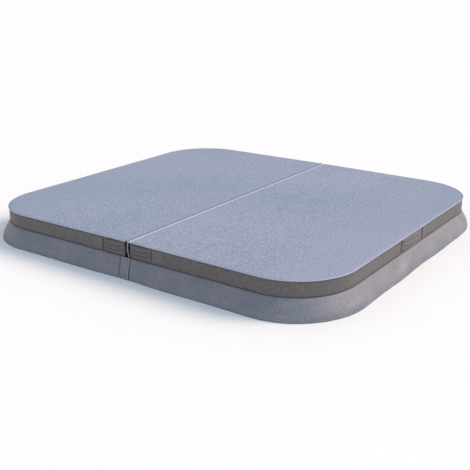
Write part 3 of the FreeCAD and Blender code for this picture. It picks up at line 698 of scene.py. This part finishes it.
def skirt_surface(s, side):
    """Outer face of a hanging skirt over stations s, its normals, and the share down it of each row."""
    seed = 61 + 5 * side
    t, reach, z, angle = skirt_profile()
    moved = s[:, None] + side * leaning(t, max(side, 0)) * hump(s - s[0], 0.1)[:, None]
    base, normal = along_outline(moved, 0.0, side)
    slack = ease((s - RUN) / BEND) * ease((ROUND - RUN - s) / BEND)
    sway = (3.0 + 1.5 * slack) * MM * swell(s, 0, 0.22, seed) + 0.9 * MM * swell(s, 0, 0.07, seed + 1)
    belly = (2.2 + 2.6 * slack[:, None]) * MM * swell(s[:, None] + t * 0.09, t * SKIRT_LENGTH, 0.11, seed + 2)
    free = ease(t * 1.15) * 0.8 + 0.2 * t
    calm = 0.15 + 0.85 * ease(from_ends(s) / 0.25)
    swing = (sway[:, None] * free + belly * np.sin(math.pi * t)) * calm[:, None]
    if side > 0:
        tucked = 1 - ease((from_ends(s) - 3 * MM) / (8 * MM))
        swing = swing - 2.6 * MM * tucked[:, None]
    tuck = -1.5 * MM * hump(t * SKIRT_LENGTH, 2.2 * MM)
    hem_line = -0.5 * MM * hump((1 - t) * SKIRT_LENGTH - HEM, 1.6 * MM)
    to_fold = np.minimum(s, ROUND - s)[:, None]
    across, lift = np.cos(angle), np.sin(angle)
    offset = reach + tuck + hem_line - drawn_in(to_fold, t) + swing * across
    face = raised(base + normal * offset[..., None], np.maximum(z + swing * lift, GROUND_GAP))
    return face, raised(normal * across[:, None], lift), t


def skirt_rows(store, face, tilt, t):
    """Stitches along the skirt's seam and along its hem."""
    for depth in (5 * MM, SKIRT_LENGTH - HEM):
        row = int(np.argmin(np.abs(t * SKIRT_LENGTH - depth)))
        stitch(store, face[:, row], tilt[:, row])


def skirt(name, side):
    """A half's skirt with its folded hem, a dark cord along its lower edge as painted shade, and its
    stitching.
    """
    body = f"{name}_half"
    start = SEAM + 0.6 * MM if side < 0 else SLIT - 5 * MM
    s = stations(start, 12 * MM, mm(3, 6, 9, 12))
    face, tilt, t = skirt_surface(s, side)
    made = shell(f"skirt_{name}", face, face - tilt * VINYL, skirt_vinyl)
    attach(made, body, "skirt_vinyl", *(f"skirt_{part}_{name}" for part in SKIRT_PARTS))
    folded = (1 - t) * SKIRT_LENGTH <= HEM + 2 * MM
    fold = face[:, folded] - tilt[:, folded] * (VINYL + 0.15 * MM)
    hem = shell(f"hem_{name}", fold, fold - tilt[:, folded] * VINYL, skirt_vinyl)
    attach(hem, body, "skirt_vinyl")
    rim = np.cross(np.gradient(face[:, -1], axis=0), tilt[:, -1])
    rim /= np.linalg.norm(rim, axis=1, keepdims=True)
    turn = circle(8)[:, None]
    middle = face[:, -1] - tilt[:, -1] * 1.6 * MM + 1.3 * MM * UP
    section = tilt[:, None, -1] * 1.9 * np.cos(turn) + rim[:, None] * 1.4 * np.sin(turn)
    rings = middle[:, None] + closing(from_ends(s), 3 * MM)[:, None, None] * section * MM
    attach(tube(f"hem_shade_edge_{name}", rings, hem_shade_vinyl), body, "skirt_vinyl")
    skirt_rows(threads[name], face, tilt, t)


for name, side in SIDES.items():
    skirt(name, side)

# ---------------------------------------------------------------- gap flaps
FLAP_UNDER = 5 * MM


def gap_flap(end_name, end):
    """The flap crosses x = 0, so it is laid out straight across the end of the fold."""
    t, reach, z, angle = skirt_profile()
    x = np.linspace(flap_low.x - FLAP_UNDER, flap_high.x + 1 * MM, 42)
    free = np.clip((x - flap_low.x) / (flap_high.x - flap_low.x), 0, 1)
    roll = 4.2 * MM * (1 - ease((x - x[0]) / (2 * FLAP_UNDER))) - 1.2 * MM * free
    swing = (1.2 * MM * free + 0.8 * MM * np.sin(x * 90))[:, None] * ease(t) - roll[:, None]
    out = reach - drawn_in(x[:, None], t) + swing * np.cos(angle)
    height = np.maximum(z + swing * np.sin(angle), GROUND_GAP)
    lean = leaning(t, free[:, None]) if end < 0 else 0
    face = spread(x[:, None] + lean, end * (HALF_D + out), height)
    tilt = np.broadcast_to(spread(0, end * np.cos(angle), np.sin(angle)), face.shape)
    made = shell(f"{end_name}_flap", face, face - tilt * VINYL, skirt_vinyl)
    attach(made, "left_half", "skirt_vinyl", f"{end_name}_gap_flap")
    # A paler strip along the flap's free edge, as a painted highlight.
    edge, edge_tilt = face[-3:], tilt[-3:]
    raised_edge = edge + edge_tilt * mm(0.7, 1.1, 0.5)[:, None, None]
    binding = shell(f"{end_name}_flap_highlight", raised_edge, edge - 0.3 * MM * edge_tilt, flap_highlight_vinyl)
    attach(binding, "left_half", "skirt_vinyl")
    column = int(np.argmin(np.abs(x - (flap_low.x + 5.5 * MM))))
    stitch(threads["left"], face[column], tilt[column])
    skirt_rows(threads["left"], face, tilt, t)


for end_name, end in ENDS.items():
    gap_flap(end_name, end)

# ---------------------------------------------------------------- steam seal
SEAL_END = HALF_D - 2.5 * MM
SEAL_FOOT = seal_high.x - (seal_high.x - seal_low.x) / 8
SEAL_DROP = seal_high.z - UNDERSIDE - 1.2 * MM


def seal_lean(t):
    """Sideways place of the seal down its drop: first to the left, then across to its foot."""
    across = 1.4 * SEAL_FOOT * t**2.2 + 8.0 * MM * (1 - t) ** 3 * ease(t / 0.1)
    return across - 4.0 * MM * np.sin(math.pi * t) * np.maximum(1 - t, 0) ** 0.34


def seal_sheet(y, t, half, waver=0.0):
    """Both faces of a hanging sheet of the seal's shape; half is half of its thickness."""
    middle = spread(seal_lean(t) + waver * t, y, seal_high.z + 0.4 * MM - SEAL_DROP * t)
    slope = np.gradient(middle[..., 0], axis=1) / np.gradient(middle[..., 2], axis=1)
    normal = spread(1.0, 0.0, -slope)
    normal /= np.linalg.norm(normal, axis=-1, keepdims=True)
    offset = normal * np.broadcast_to(half, slope.shape)[..., None]
    return middle + offset, middle - offset


def steam_seal():
    """The flap that hangs in the fold, coloured near-black as painted shade, and the pale binding sewn over
    each of its ends.
    """
    t, bound = np.linspace(0.045, 1, 26)[None], np.linspace(0.09, 1, 26)[None]
    y = both_ways(np.array([SEAL_END]), np.linspace(6 * MM - SEAL_END, SEAL_END - 6 * MM, 150))[:, None]
    waver = 1.6 * MM * swell(y, 0.0, 0.2, 71) * ease((SEAL_END - np.abs(y)) / 0.12)
    made = shell("seal", *seal_sheet(y, t, 1.5 * MM, waver), seal_vinyl)
    attach(made, "left_half", "seal_vinyl", "steam_seal")
    for end_name, end in ENDS.items():
        y = end * (SEAL_END + 0.9 * MM - mm(0.0, 0.25, 0.9, 2.0, 4.5, 6.0))[:, None]
        half = mm(0.7, 1.3, 1.6, 1.8, 1.8, 1.5)[:, None]
        binding = shell(f"seal_binding_{end_name}", *seal_sheet(y, bound, half), binding_vinyl)
        attach(binding, "left_half", "piping")


steam_seal()

# ---------------------------------------------------------------- hinge
WELT = 2.5 * MM
FOLD_PIPE = 1.6 * MM


def along_fold(end, close, close_count, count):
    """Places along the fold, denser over the length close at each end."""
    ends = end - np.linspace(0, close, close_count)[:-1]
    return both_ways(ends, np.linspace(close - end, end - close, count))


def bend_with_fold(made):
    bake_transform(made)


def welt():
    """The bead along the fold, with a stem between the panels."""
    end = HALF_D + 2.5 * MM
    y = along_fold(end, 12 * MM, 16, 300)
    from_end = end - np.abs(y)
    turn = np.radians(np.linspace(-62, 242, 16))
    knob = 0.85 * hump(from_end - 3.5 * MM, 3.2 * MM)
    bead = WELT * (1 + 0.05 * swell(y, 0, 0.05, 81) + knob)[:, None]
    uneven = 0.2 * MM * swell(y, 0, 0.3, 83)[:, None]
    stem_x, stem_z = mm(-1.15, -1.15, 1.15, 1.15), mm(-3.0, -4.4, -4.4, -3.0)
    x = np.concatenate([bead * np.cos(turn), np.broadcast_to(stem_x, (y.size, 4))], 1)
    z = np.concatenate([bead * np.sin(turn) + uneven, np.broadcast_to(stem_z, (y.size, 4))], 1)
    tip = closing(from_end, 3 * MM)[:, None]
    # Coloured a little darker than the top, as painted crease shade.
    made = tube("welt", spread(x * tip, y[:, None], z * tip + HINGE_Z), welt_shade_vinyl)
    bend_with_fold(made)
    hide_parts("hinge_welt")


def fold_piping():
    """Piping sewn along the right panel beside the fold, coloured near-white as a painted highlight, thicker
    where it turns over each edge.
    """
    end = HALF_D + 2 * MM
    y = along_fold(end, 14 * MM, 15, 260)
    from_end = end - np.abs(y)
    knob = 0.45 * hump(from_end - 3.5 * MM, 3.5 * MM)
    bead = FOLD_PIPE * (1 + 0.05 * swell(y, 0, 0.05, 85) + knob) * closing(from_end, 2.5 * MM)
    middle = GAP + 1.6 * MM + 0.3 * MM * swell(y, 0, 0.2, 89)
    over = 1.2 * MM * (1 - ease(from_end / (9 * MM)))
    crown = top_height(middle, np.clip(y, -HALF_D, HALF_D), 1) + 1.8 * MM - over
    x = middle[:, None] + bead[:, None] * np.cos(circle(14))
    z = (crown - bead)[:, None] + bead[:, None] * np.sin(circle(14))
    attach(tube("fold_piping", spread(x, y[:, None], z), fold_highlight_piping), "right_half", "piping")
    beside = spread(middle + 5 * MM, y, top_height(middle + 5 * MM, y, 1))
    stitch(threads["right"], beside[12:-12], UP, radius=0.4 * MM)


def seam_tape():
    """The flat seam that lies beside the welt on the left skin, with its stitches."""
    end = HALF_D - 4 * MM
    y = np.linspace(-end, end, 300)[:, None]
    x = -mm(6.2, 6.5, 9.0, 13.0, 15.2, 15.6) + 0.25 * MM * swell(y, 0, 0.15, 87)
    upper = spread(x, y, top_height(x, y, -1) + mm(-0.3, 0.35, 0.5, 0.5, 0.35, -0.3))
    made = shell("seam_tape", upper, upper + 0.5 * MM * DOWN, top_vinyl)
    attach(made, "left_half", "top_vinyl")
    stitch(threads["left"], upper[:, 2:4].mean(1), UP, radius=0.4 * MM)


def hinge_strap():
    """Webbing under both skins, which carries the fold."""
    end = HALF_D - 10 * MM
    y = np.linspace(-end, end, 200)[:, None]
    x = both_ways(np.linspace(GAP, 3 * MM, 6), np.linspace(-2.6 * MM, 2.6 * MM, 9))
    z = top_at(x) - VINYL - 1.0 * MM - 2.2 * MM * hump(x, 4 * MM) + 0.1 * MM * swell(x, y, 0.03, 91)
    upper = spread(x, y, z)
    made = shell("hinge_strap", upper, upper + 1.0 * MM * DOWN, webbing_cloth)
    bend_with_fold(made)
    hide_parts("hinge_backing_left", "hinge_backing_right")


welt()
fold_piping()
seam_tape()
hinge_strap()

# ---------------------------------------------------------------- handles
STRAP_HALF = (strap_high.z - strap_low.z) / 2
STRAP_Z = (strap_high.z + strap_low.z) / 2
STRAP_TAB = 16 * MM
STRAP_PUFF = 4.6 * MM
STRAP_THICKNESS = 3 * MM
SLIT_WIDTH = 6.5 * MM
CHANNELS = 3
PATCH_LENGTH = 66 * MM - SLIT_WIDTH / 2
PATCH_THICKNESS = 1.4 * MM
fold_bow = -strap_low.y - HALF_D - STRAP_THICKNESS
side_bow = side_strap_high.x - HALF_W - STRAP_THICKNESS


def bow_at(t, span, bow):
    """Distance of a strap from the band at t along it."""
    radius = (span**2 + bow**2) / (2 * bow)
    inside = np.minimum(np.abs(t), span)
    return np.maximum(np.sqrt(radius**2 - inside**2) - (radius - bow), 0)


def on_end(side, end):
    """Places points on a front or rear band: along from the fold, out from its cloth, up from mid-strap."""

    def place(along, out, up):
        along, out, up = np.broadcast_arrays(along, out, up)
        cloth = band_face(along if end < 0 else ROUND - along, STRAP_Z + up, side)
        return np.stack([side * along, end * (HALF_D + cloth + out), STRAP_Z + up], -1)

    return place


def on_side(side):
    """The same on a side band; along is the distance toward the rear from mid-depth."""

    def place(along, out, up):
        along, out, up = np.broadcast_arrays(along, out, up)
        cloth = band_face(RUN + BEND + SIDE_RUN / 2 + along, STRAP_Z + up, side)
        return np.stack([side * (HALF_W + cloth + out), along, STRAP_Z + up], -1)

    return place


def outward(place):
    return place(0.0, 1.0, 0.0) - place(0.0, 0.0, 0.0)


def strap(made_name, body, node, place, centre, half, bow, seed, store):
    """A sewn sleeve that bows away from the band; place(along, out, up) puts its points on the cover."""
    span = half - STRAP_TAB
    end = half - 1.5 * MM
    t = np.unique(np.concatenate([np.linspace(-end, end, 90), [-span, span]]))[:, None]
    v = (1 - np.cos(np.linspace(0, math.pi, 16))) / 2
    droop = 1.6 * MM * (1 - (t / half) ** 2) + 0.9 * MM * swell(t, 0, 0.05, seed + 2)
    seams = [-STRAP_HALF + 0 * t, -STRAP_HALF / 3 - droop, STRAP_HALF / 3 - droop, STRAP_HALF + 0 * t]
    w = np.concatenate([a + (b - a) * v[:-1] for a, b in zip(seams, seams[1:])] + [seams[-1]], 1)
    share = w / STRAP_HALF
    rest = ease((end - np.abs(t)) / (7 * MM))
    tabbed = 0.35 + 0.65 * ease((span - np.abs(t)) / (10 * MM) + 0.5)
    flat_edges = 1 - 0.75 * ease((share + 0.1) / 1.1) - 0.7 * ease((-share + 0.1) / 1.1)
    arch = bow_at(t, span, bow) * flat_edges + 0.4 * MM
    pull = np.abs(np.sin(t / (5.2 * MM))) * 0.35 * MM
    crease = 0.6 * MM * swell(t, w, 0.018, seed) + 0.5 * MM * swell(t, 4 * w, 0.06, seed + 1)
    channel_top = STRAP_PUFF * tabbed * rest
    base = 0.5 * MM * (0.5 + 0.5 * rest)
    puffed = np.abs(np.sin(math.pi * np.concatenate([v[:-1]] * CHANNELS + [v[-1:]]))) ** 0.6
    rounding = np.sqrt(np.clip(1 - np.abs(share) ** 14, 0, 1))
    thick = (base + (channel_top + crease * tabbed - 0.4 * pull) * puffed) * rounding
    up = w * (1 - 0.02 * np.cos(math.pi * t / (2 * half)))
    outer = place(centre + t, arch + thick, up)
    inner = place(centre + t, arch - 0.3 * MM * rounding, up)
    made = shell(made_name, outer, inner, strap_vinyl, sharp=60)
    attach(made, body, "band_vinyl", node)
    out = outward(place)
    for seam in range(1, CHANNELS):
        stitch(store, outer[:, seam * (v.size - 1)], out, pitch=5 * MM, length=3.8 * MM, radius=0.3 * MM)
    for spot in (6 * MM - half, half - 6 * MM, -span, span):
        row = int(np.argmin(np.abs(t - spot)))
        keep = np.abs(w[row]) < STRAP_HALF - 3 * MM
        stitch(store, outer[row][keep], out, pitch=5 * MM, length=3.6 * MM, radius=0.4 * MM)


def round_rectangle(low, high, half, steps):
    """The two coordinates of a line round a rectangle, with the same number of steps on each side."""
    along = np.linspace(0, 4, 4 * steps + 1)
    corners = ((low, high, high, low, low), (-half, -half, half, half, -half))
    return [np.interp(along, range(5), values) for values in corners]


def patch(made_name, name, place, near):
    """A sewn patch that starts at a slit, with a swollen edge there."""
    u = (1 - np.cos(np.linspace(0, math.pi, 26))) / 2 * PATCH_LENGTH
    w = -np.cos(np.linspace(0, math.pi, 22)) * STRAP_HALF
    u, w = np.meshgrid(u, w, indexing="ij")
    to_edge = np.minimum(np.minimum(u, PATCH_LENGTH - u), STRAP_HALF - np.abs(w))
    rim = np.sqrt(np.clip(1 - (1 - np.clip(to_edge / (2.2 * MM), 0, 1)) ** 2, 0, 1))
    seam = -0.5 * MM * hump(to_edge - 5 * MM, 1.3 * MM)
    thick = 0.3 * MM + (PATCH_THICKNESS + 1.8 * MM * np.exp(-u / (7 * MM))) * rim + seam
    thick += 0.25 * MM * swell(u, w, 0.02, 101) * rim
    made = shell(made_name, place(near + u, thick, w), place(near + u, -0.6 * MM, w), patch_vinyl, sharp=60)
    attach(made, f"{name}_half", "patch_vinyl")
    inset = 5 * MM
    path = round_rectangle(near + inset, near + PATCH_LENGTH - inset, STRAP_HALF - inset, 11)
    line = place(path[0][:-1], PATCH_THICKNESS + 0.2 * MM, path[1][:-1])
    stitch(threads[f"dark_{name}"], line, outward(place), pitch=5 * MM, length=3.6 * MM, radius=0.4 * MM)
    return made


def slit(made_name, body, place, centre):
    """A near-black sheet a little proud of the band, as painted shade for the mouth that a strap goes into.
    """
    w = np.linspace(-STRAP_HALF + 1.5 * MM, STRAP_HALF - 1.5 * MM, 24)[:, None]
    open_by = SLIT_WIDTH / 2 * np.sqrt(np.clip(1 - (w / (STRAP_HALF - 1 * MM)) ** 6, 0.02, 1))
    along = centre + open_by * np.linspace(-1, 1, 5)
    made = shell(made_name, place(along, 0.3 * MM, w), place(along, -1.0 * MM, w), hollow_shade_vinyl)
    attach(made, body, "fold_wall_vinyl")


def lip(made_name, body, place, centre):
    """The rolled edge of the patch along the slit, paler than the patch as a painted highlight."""
    half = STRAP_HALF - 1 * MM
    w = np.linspace(-half, half, 30)[:, None]
    bead = 1.9 * MM * closing(half - np.abs(w), 4 * MM, 0.03) * (1 + 0.08 * swell(w, 0, 0.015, 131))
    rings = place(centre + bead * np.cos(circle(12)), 1.3 * MM + bead * np.sin(circle(12)), w)
    attach(tube(made_name, rings, lip_highlight_vinyl), body, "patch_vinyl")


def handle(label, name, place, low, high, bow, seed):
    """A strap from low to high, the slit and the rolled lip at its high end, and the patch beyond them."""
    body, store = f"{name}_half", threads[f"dark_{name}"]
    centre, half = (low + high) / 2, (high - low) / 2 - SLIT_WIDTH / 2
    strap(f"{label}_strap_{name}", body, f"{label}_handle_{name}", place, centre, half, bow, seed, store)
    slit(f"{label}_slit_{name}", body, place, high)
    lip(f"{label}_lip_{name}", body, place, high + SLIT_WIDTH / 2 + 1 * MM)
    return patch(f"{label}_patch_{name}", name, place, high + SLIT_WIDTH / 2)


for name, side in SIDES.items():
    for end_name, end in ENDS.items():
        seed = 111 + 3 * side + end
        span = strap_low.x, strap_high.x
        handle(end_name, name, on_end(side, end), *span, fold_bow, seed)
    handle("side", name, on_side(side), side_strap_low.y, side_strap_high.y, side_bow, 121 + side)
    slit(f"side_slit_near_{name}", f"{name}_half", on_side(side), side_strap_low.y)
    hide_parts(f"handle_patches_{name}")

# ---------------------------------------------------------------- underside
LINER = 1.2 * MM
EYELET_RADIUS = 11 * MM
EYELET_PATCH = 34 * MM
EYELET_PATCH_HOLE = 8 * MM
TOOTH_PITCH = 2.4 * MM
TOOTH_HALF = 0.92 * MM
zip_middle = (chain_low.x + chain_high.x) / 2
eyelet_x = (eyelet_low.x + EYELET_RADIUS, eyelet_high.x - EYELET_RADIUS)
eyelet_y = (eyelet_low.y + EYELET_RADIUS, eyelet_high.y - EYELET_RADIUS)
# Radius and height, in mm, of the points of each section.
EYELET_SECTION = (
    (4.6, 1.4), (4.8, 0.1), (5.2, -1.0), (6.4, -1.7), (8.4, -1.9),
    (10.2, -1.6), (11.0, -1.0), (11.0, -0.4), (8.0, 0.3), (5.4, 1.4),
)
DRAIN_SHADE_SECTION = ((0.3, -0.5), (4.7, -0.5), (4.7, 0.2), (0.3, 0.2))
# Share of the way from the hole to the patch's edge, and height in mm.
PATCH_SECTION = (
    (0.0, -1.0), (0.5, -1.1), (0.8, -1.1), (0.95, -0.9), (0.99, -0.6), (1.0, -0.2), (0.9, 0.2), (0.0, 0.2),
)


def underside(name, side):
    """The liner, slightly slack between its seams, and the stitches round it."""
    _, _, y, edge = rows_across(0.8 * MM, 18, 49)
    y, edge = y[:, None], edge[:, None]
    start = tape_high.x - 1 * MM
    x = start + (edge - start) * np.linspace(0, 1, 40)
    to_edge = np.minimum(np.minimum(x - start, edge - x), HALF_D - np.abs(y))
    slack = ease(to_edge / 0.05) * (0.35 * MM + 0.45 * MM * swell(x, y, 0.16, 131 + side))
    z = UNDERSIDE + 0.15 * MM - np.maximum(slack, -0.1 * MM) + 0.5 * MM * hump(to_edge - 8 * MM, 2.5 * MM)
    lower = mirrored(spread(x, y, z), side)
    made = shell(f"liner_{name}", lower, lower + LINER * UP, liner_cloth)
    attach(made, f"{name}_half", "liner", f"underside_liner_{name}")
    line, _ = along_outline(stations(start, 15 * MM), -9 * MM, side)
    stitch(threads[f"dark_{name}"], raised(line, UNDERSIDE - 0.2 * MM), DOWN)


def revolved(section, centre):
    turn = circle(28)[:, None]
    radius, z = np.transpose(section) * MM
    return spread(radius * np.cos(turn), radius * np.sin(turn), z) + centre


def square_ring(centre):
    """A square patch with rounded corners and a round hole."""
    turn = circle(48)
    square = EYELET_PATCH / (np.abs(np.cos(turn)) ** 8 + np.abs(np.sin(turn)) ** 8) ** (1 / 8)
    share, z = (np.array(values)[:, None] for values in zip(*PATCH_SECTION))
    radius = EYELET_PATCH_HOLE + (square - EYELET_PATCH_HOLE) * share
    return spread(radius * np.cos(turn), radius * np.sin(turn), z * MM) + centre


def eyelets(name, side):
    """Rolled rings with a short barrel, a near-black disc in each hole as painted shade, and a sewn patch
    round it.
    """
    body = f"{name}_half"
    places = [(side * x, y, UNDERSIDE) for x in eyelet_x for y in eyelet_y]
    made = rings_piece(f"eyelets_{name}", [revolved(EYELET_SECTION, place) for place in places], brass)
    attach(made, body, "eyelet_brass", f"drain_eyelets_{name}")
    dark = rings_piece(f"drain_shades_{name}", [revolved(DRAIN_SHADE_SECTION, place) for place in places], hollow_shade_vinyl)
    attach(dark, body, "fold_wall_vinyl")
    patches = rings_piece(f"eyelet_patches_{name}", [square_ring(place) for place in places], band_vinyl)
    attach(patches, body, "band_vinyl")
    half = EYELET_PATCH - 4 * MM
    line = np.stack(round_rectangle(-half, half, half, 12), -1)
    for place in places:
        stitch(threads[name], raised(line + np.array(place[:2]), UNDERSIDE - 1.1 * MM), DOWN)


def liner_seams(name, side):
    """Two tapes across the liner, where its lengths are joined."""
    x = np.linspace(tape_high.x + 1 * MM, HALF_W - 6 * MM, 80)[:, None]
    for label, end in ENDS.items():
        y = end * SIDE_RUN / 4 + mm(-12.4, -12, -9, 0, 9, 12, 12.4) + 0.5 * MM * swell(x, 0.0, 0.1, 151)
        depth = 0.8 * MM + mm(-0.2, 0.5, 0.75, 0.7, 0.75, 0.5, -0.2)
        lower = mirrored(spread(x, y, UNDERSIDE - depth), side)
        tape = shell(f"liner_seam_{label}_{name}", lower, lower + 0.6 * MM * UP, seam_cloth)
        attach(tape, f"{name}_half", "liner")
        for column in (2, 4):
            stitch(threads[name], lower[:, column], DOWN)


def zip_tape(name, side):
    """The tape, a little rippled, with a shallow channel for the teeth along its middle."""
    end = HALF_D - 3 * MM
    y = np.linspace(-end, end, 120)[:, None]
    inner = tape_low.x + mm(0.2, 3)
    outer = tape_high.x - mm(3, 0)
    x = np.concatenate([inner, zip_middle + mm(-8, -3.4, -0.6, 0.6, 3.4, 8), outer])
    away = np.abs(x - zip_middle)
    ripple = 0.35 * MM * swell(x, y, 0.05, 141 + side) * np.clip(away / (8 * MM), 0, 1)
    lower = mirrored(spread(x, y, UNDERSIDE + 0.25 * MM + ripple + 0.6 * MM * hump(away, 2.5 * MM)), side)
    tape = shell(f"tape_{name}", lower, lower + 0.8 * MM * UP, tape_cloth)
    attach(tape, f"{name}_half", "zip_tape", f"zip_tape_{name}")
    for column in (1, 8):
        stitch(threads[f"dark_{name}"], lower[:, column], DOWN)


def zip_coil(name, side):
    """Separate teeth that point to either side in turn."""
    count = int((chain_high.y - chain_low.y) / TOOTH_PITCH)
    spots = chain_low.y + TOOTH_PITCH * (np.arange(count) + 0.5)
    half_x = (chain_high.x - chain_low.x) / 2
    high, low = chain_high.z + 0.1 * MM, chain_low.z
    turn = circle(6) + math.pi / 6
    share, width = np.array([(-1, 0.55), (-0.8, 1.0), (0.5, 1.0), (0.72, 0.6)]).T[..., None]
    height = (high + low) / 2 + (high - low) / 2 * width * np.sin(turn)
    flip = np.where(np.arange(count) % 2, 1, -1)[:, None, None]
    y = spots[:, None, None] + TOOTH_HALF * width * np.cos(turn)
    teeth = spread(zip_middle + flip * share * half_x, y, height)
    coil = tubes(f"coil_{name}", mirrored(teeth, side), coil_plastic, sharp=50)
    attach(coil, f"{name}_half", "zip_chain", f"zip_chain_{name}")


for name, side in SIDES.items():
    underside(name, side)
    eyelets(name, side)
    liner_seams(name, side)
    zip_tape(name, side)
    zip_coil(name, side)

# ---------------------------------------------------------------- thread
for name in SIDES:
    light, dark = (name, thread_cloth, "skirt_vinyl"), (f"dark_{name}", dark_thread, "band_vinyl")
    for store, cloth, slot_name in (light, dark):
        made = tubes(f"thread_{store}", np.concatenate(threads[store]), cloth, sharp=80)
        attach(made, f"{name}_half", slot_name)

# ---------------------------------------------------------------- CAD nodes that stay
for name in SIDES:
    for node, material, bevel in (
        (f"zip_slider_{name}", zip_steel, 0.35 * MM),
        (f"zip_pull_{name}", zip_steel, 0.3 * MM),
        (f"stiffener_channel_{name}", steel, 0.0),
    ):
        kept = frame["nodes"][node]
        kept.data.materials.clear()
        kept.data.materials.append(material)
        if bevel:
            rounded = kept.modifiers.new("rounded", "BEVEL")
            rounded.width = bevel
            rounded.segments = 3
            rounded.limit_method = "ANGLE"
            rounded.harden_normals = True

# ---------------------------------------------------------------- floor
FLOOR_HALF = 90
FLOOR_Z = -0.5 * MM
floor_corners = [(x * FLOOR_HALF, y * FLOOR_HALF, FLOOR_Z) for x, y in ((-1, -1), (1, -1), (1, 1), (-1, 1))]
piece("floor", floor_corners, [(0, 1, 2, 3)], floor_paint)
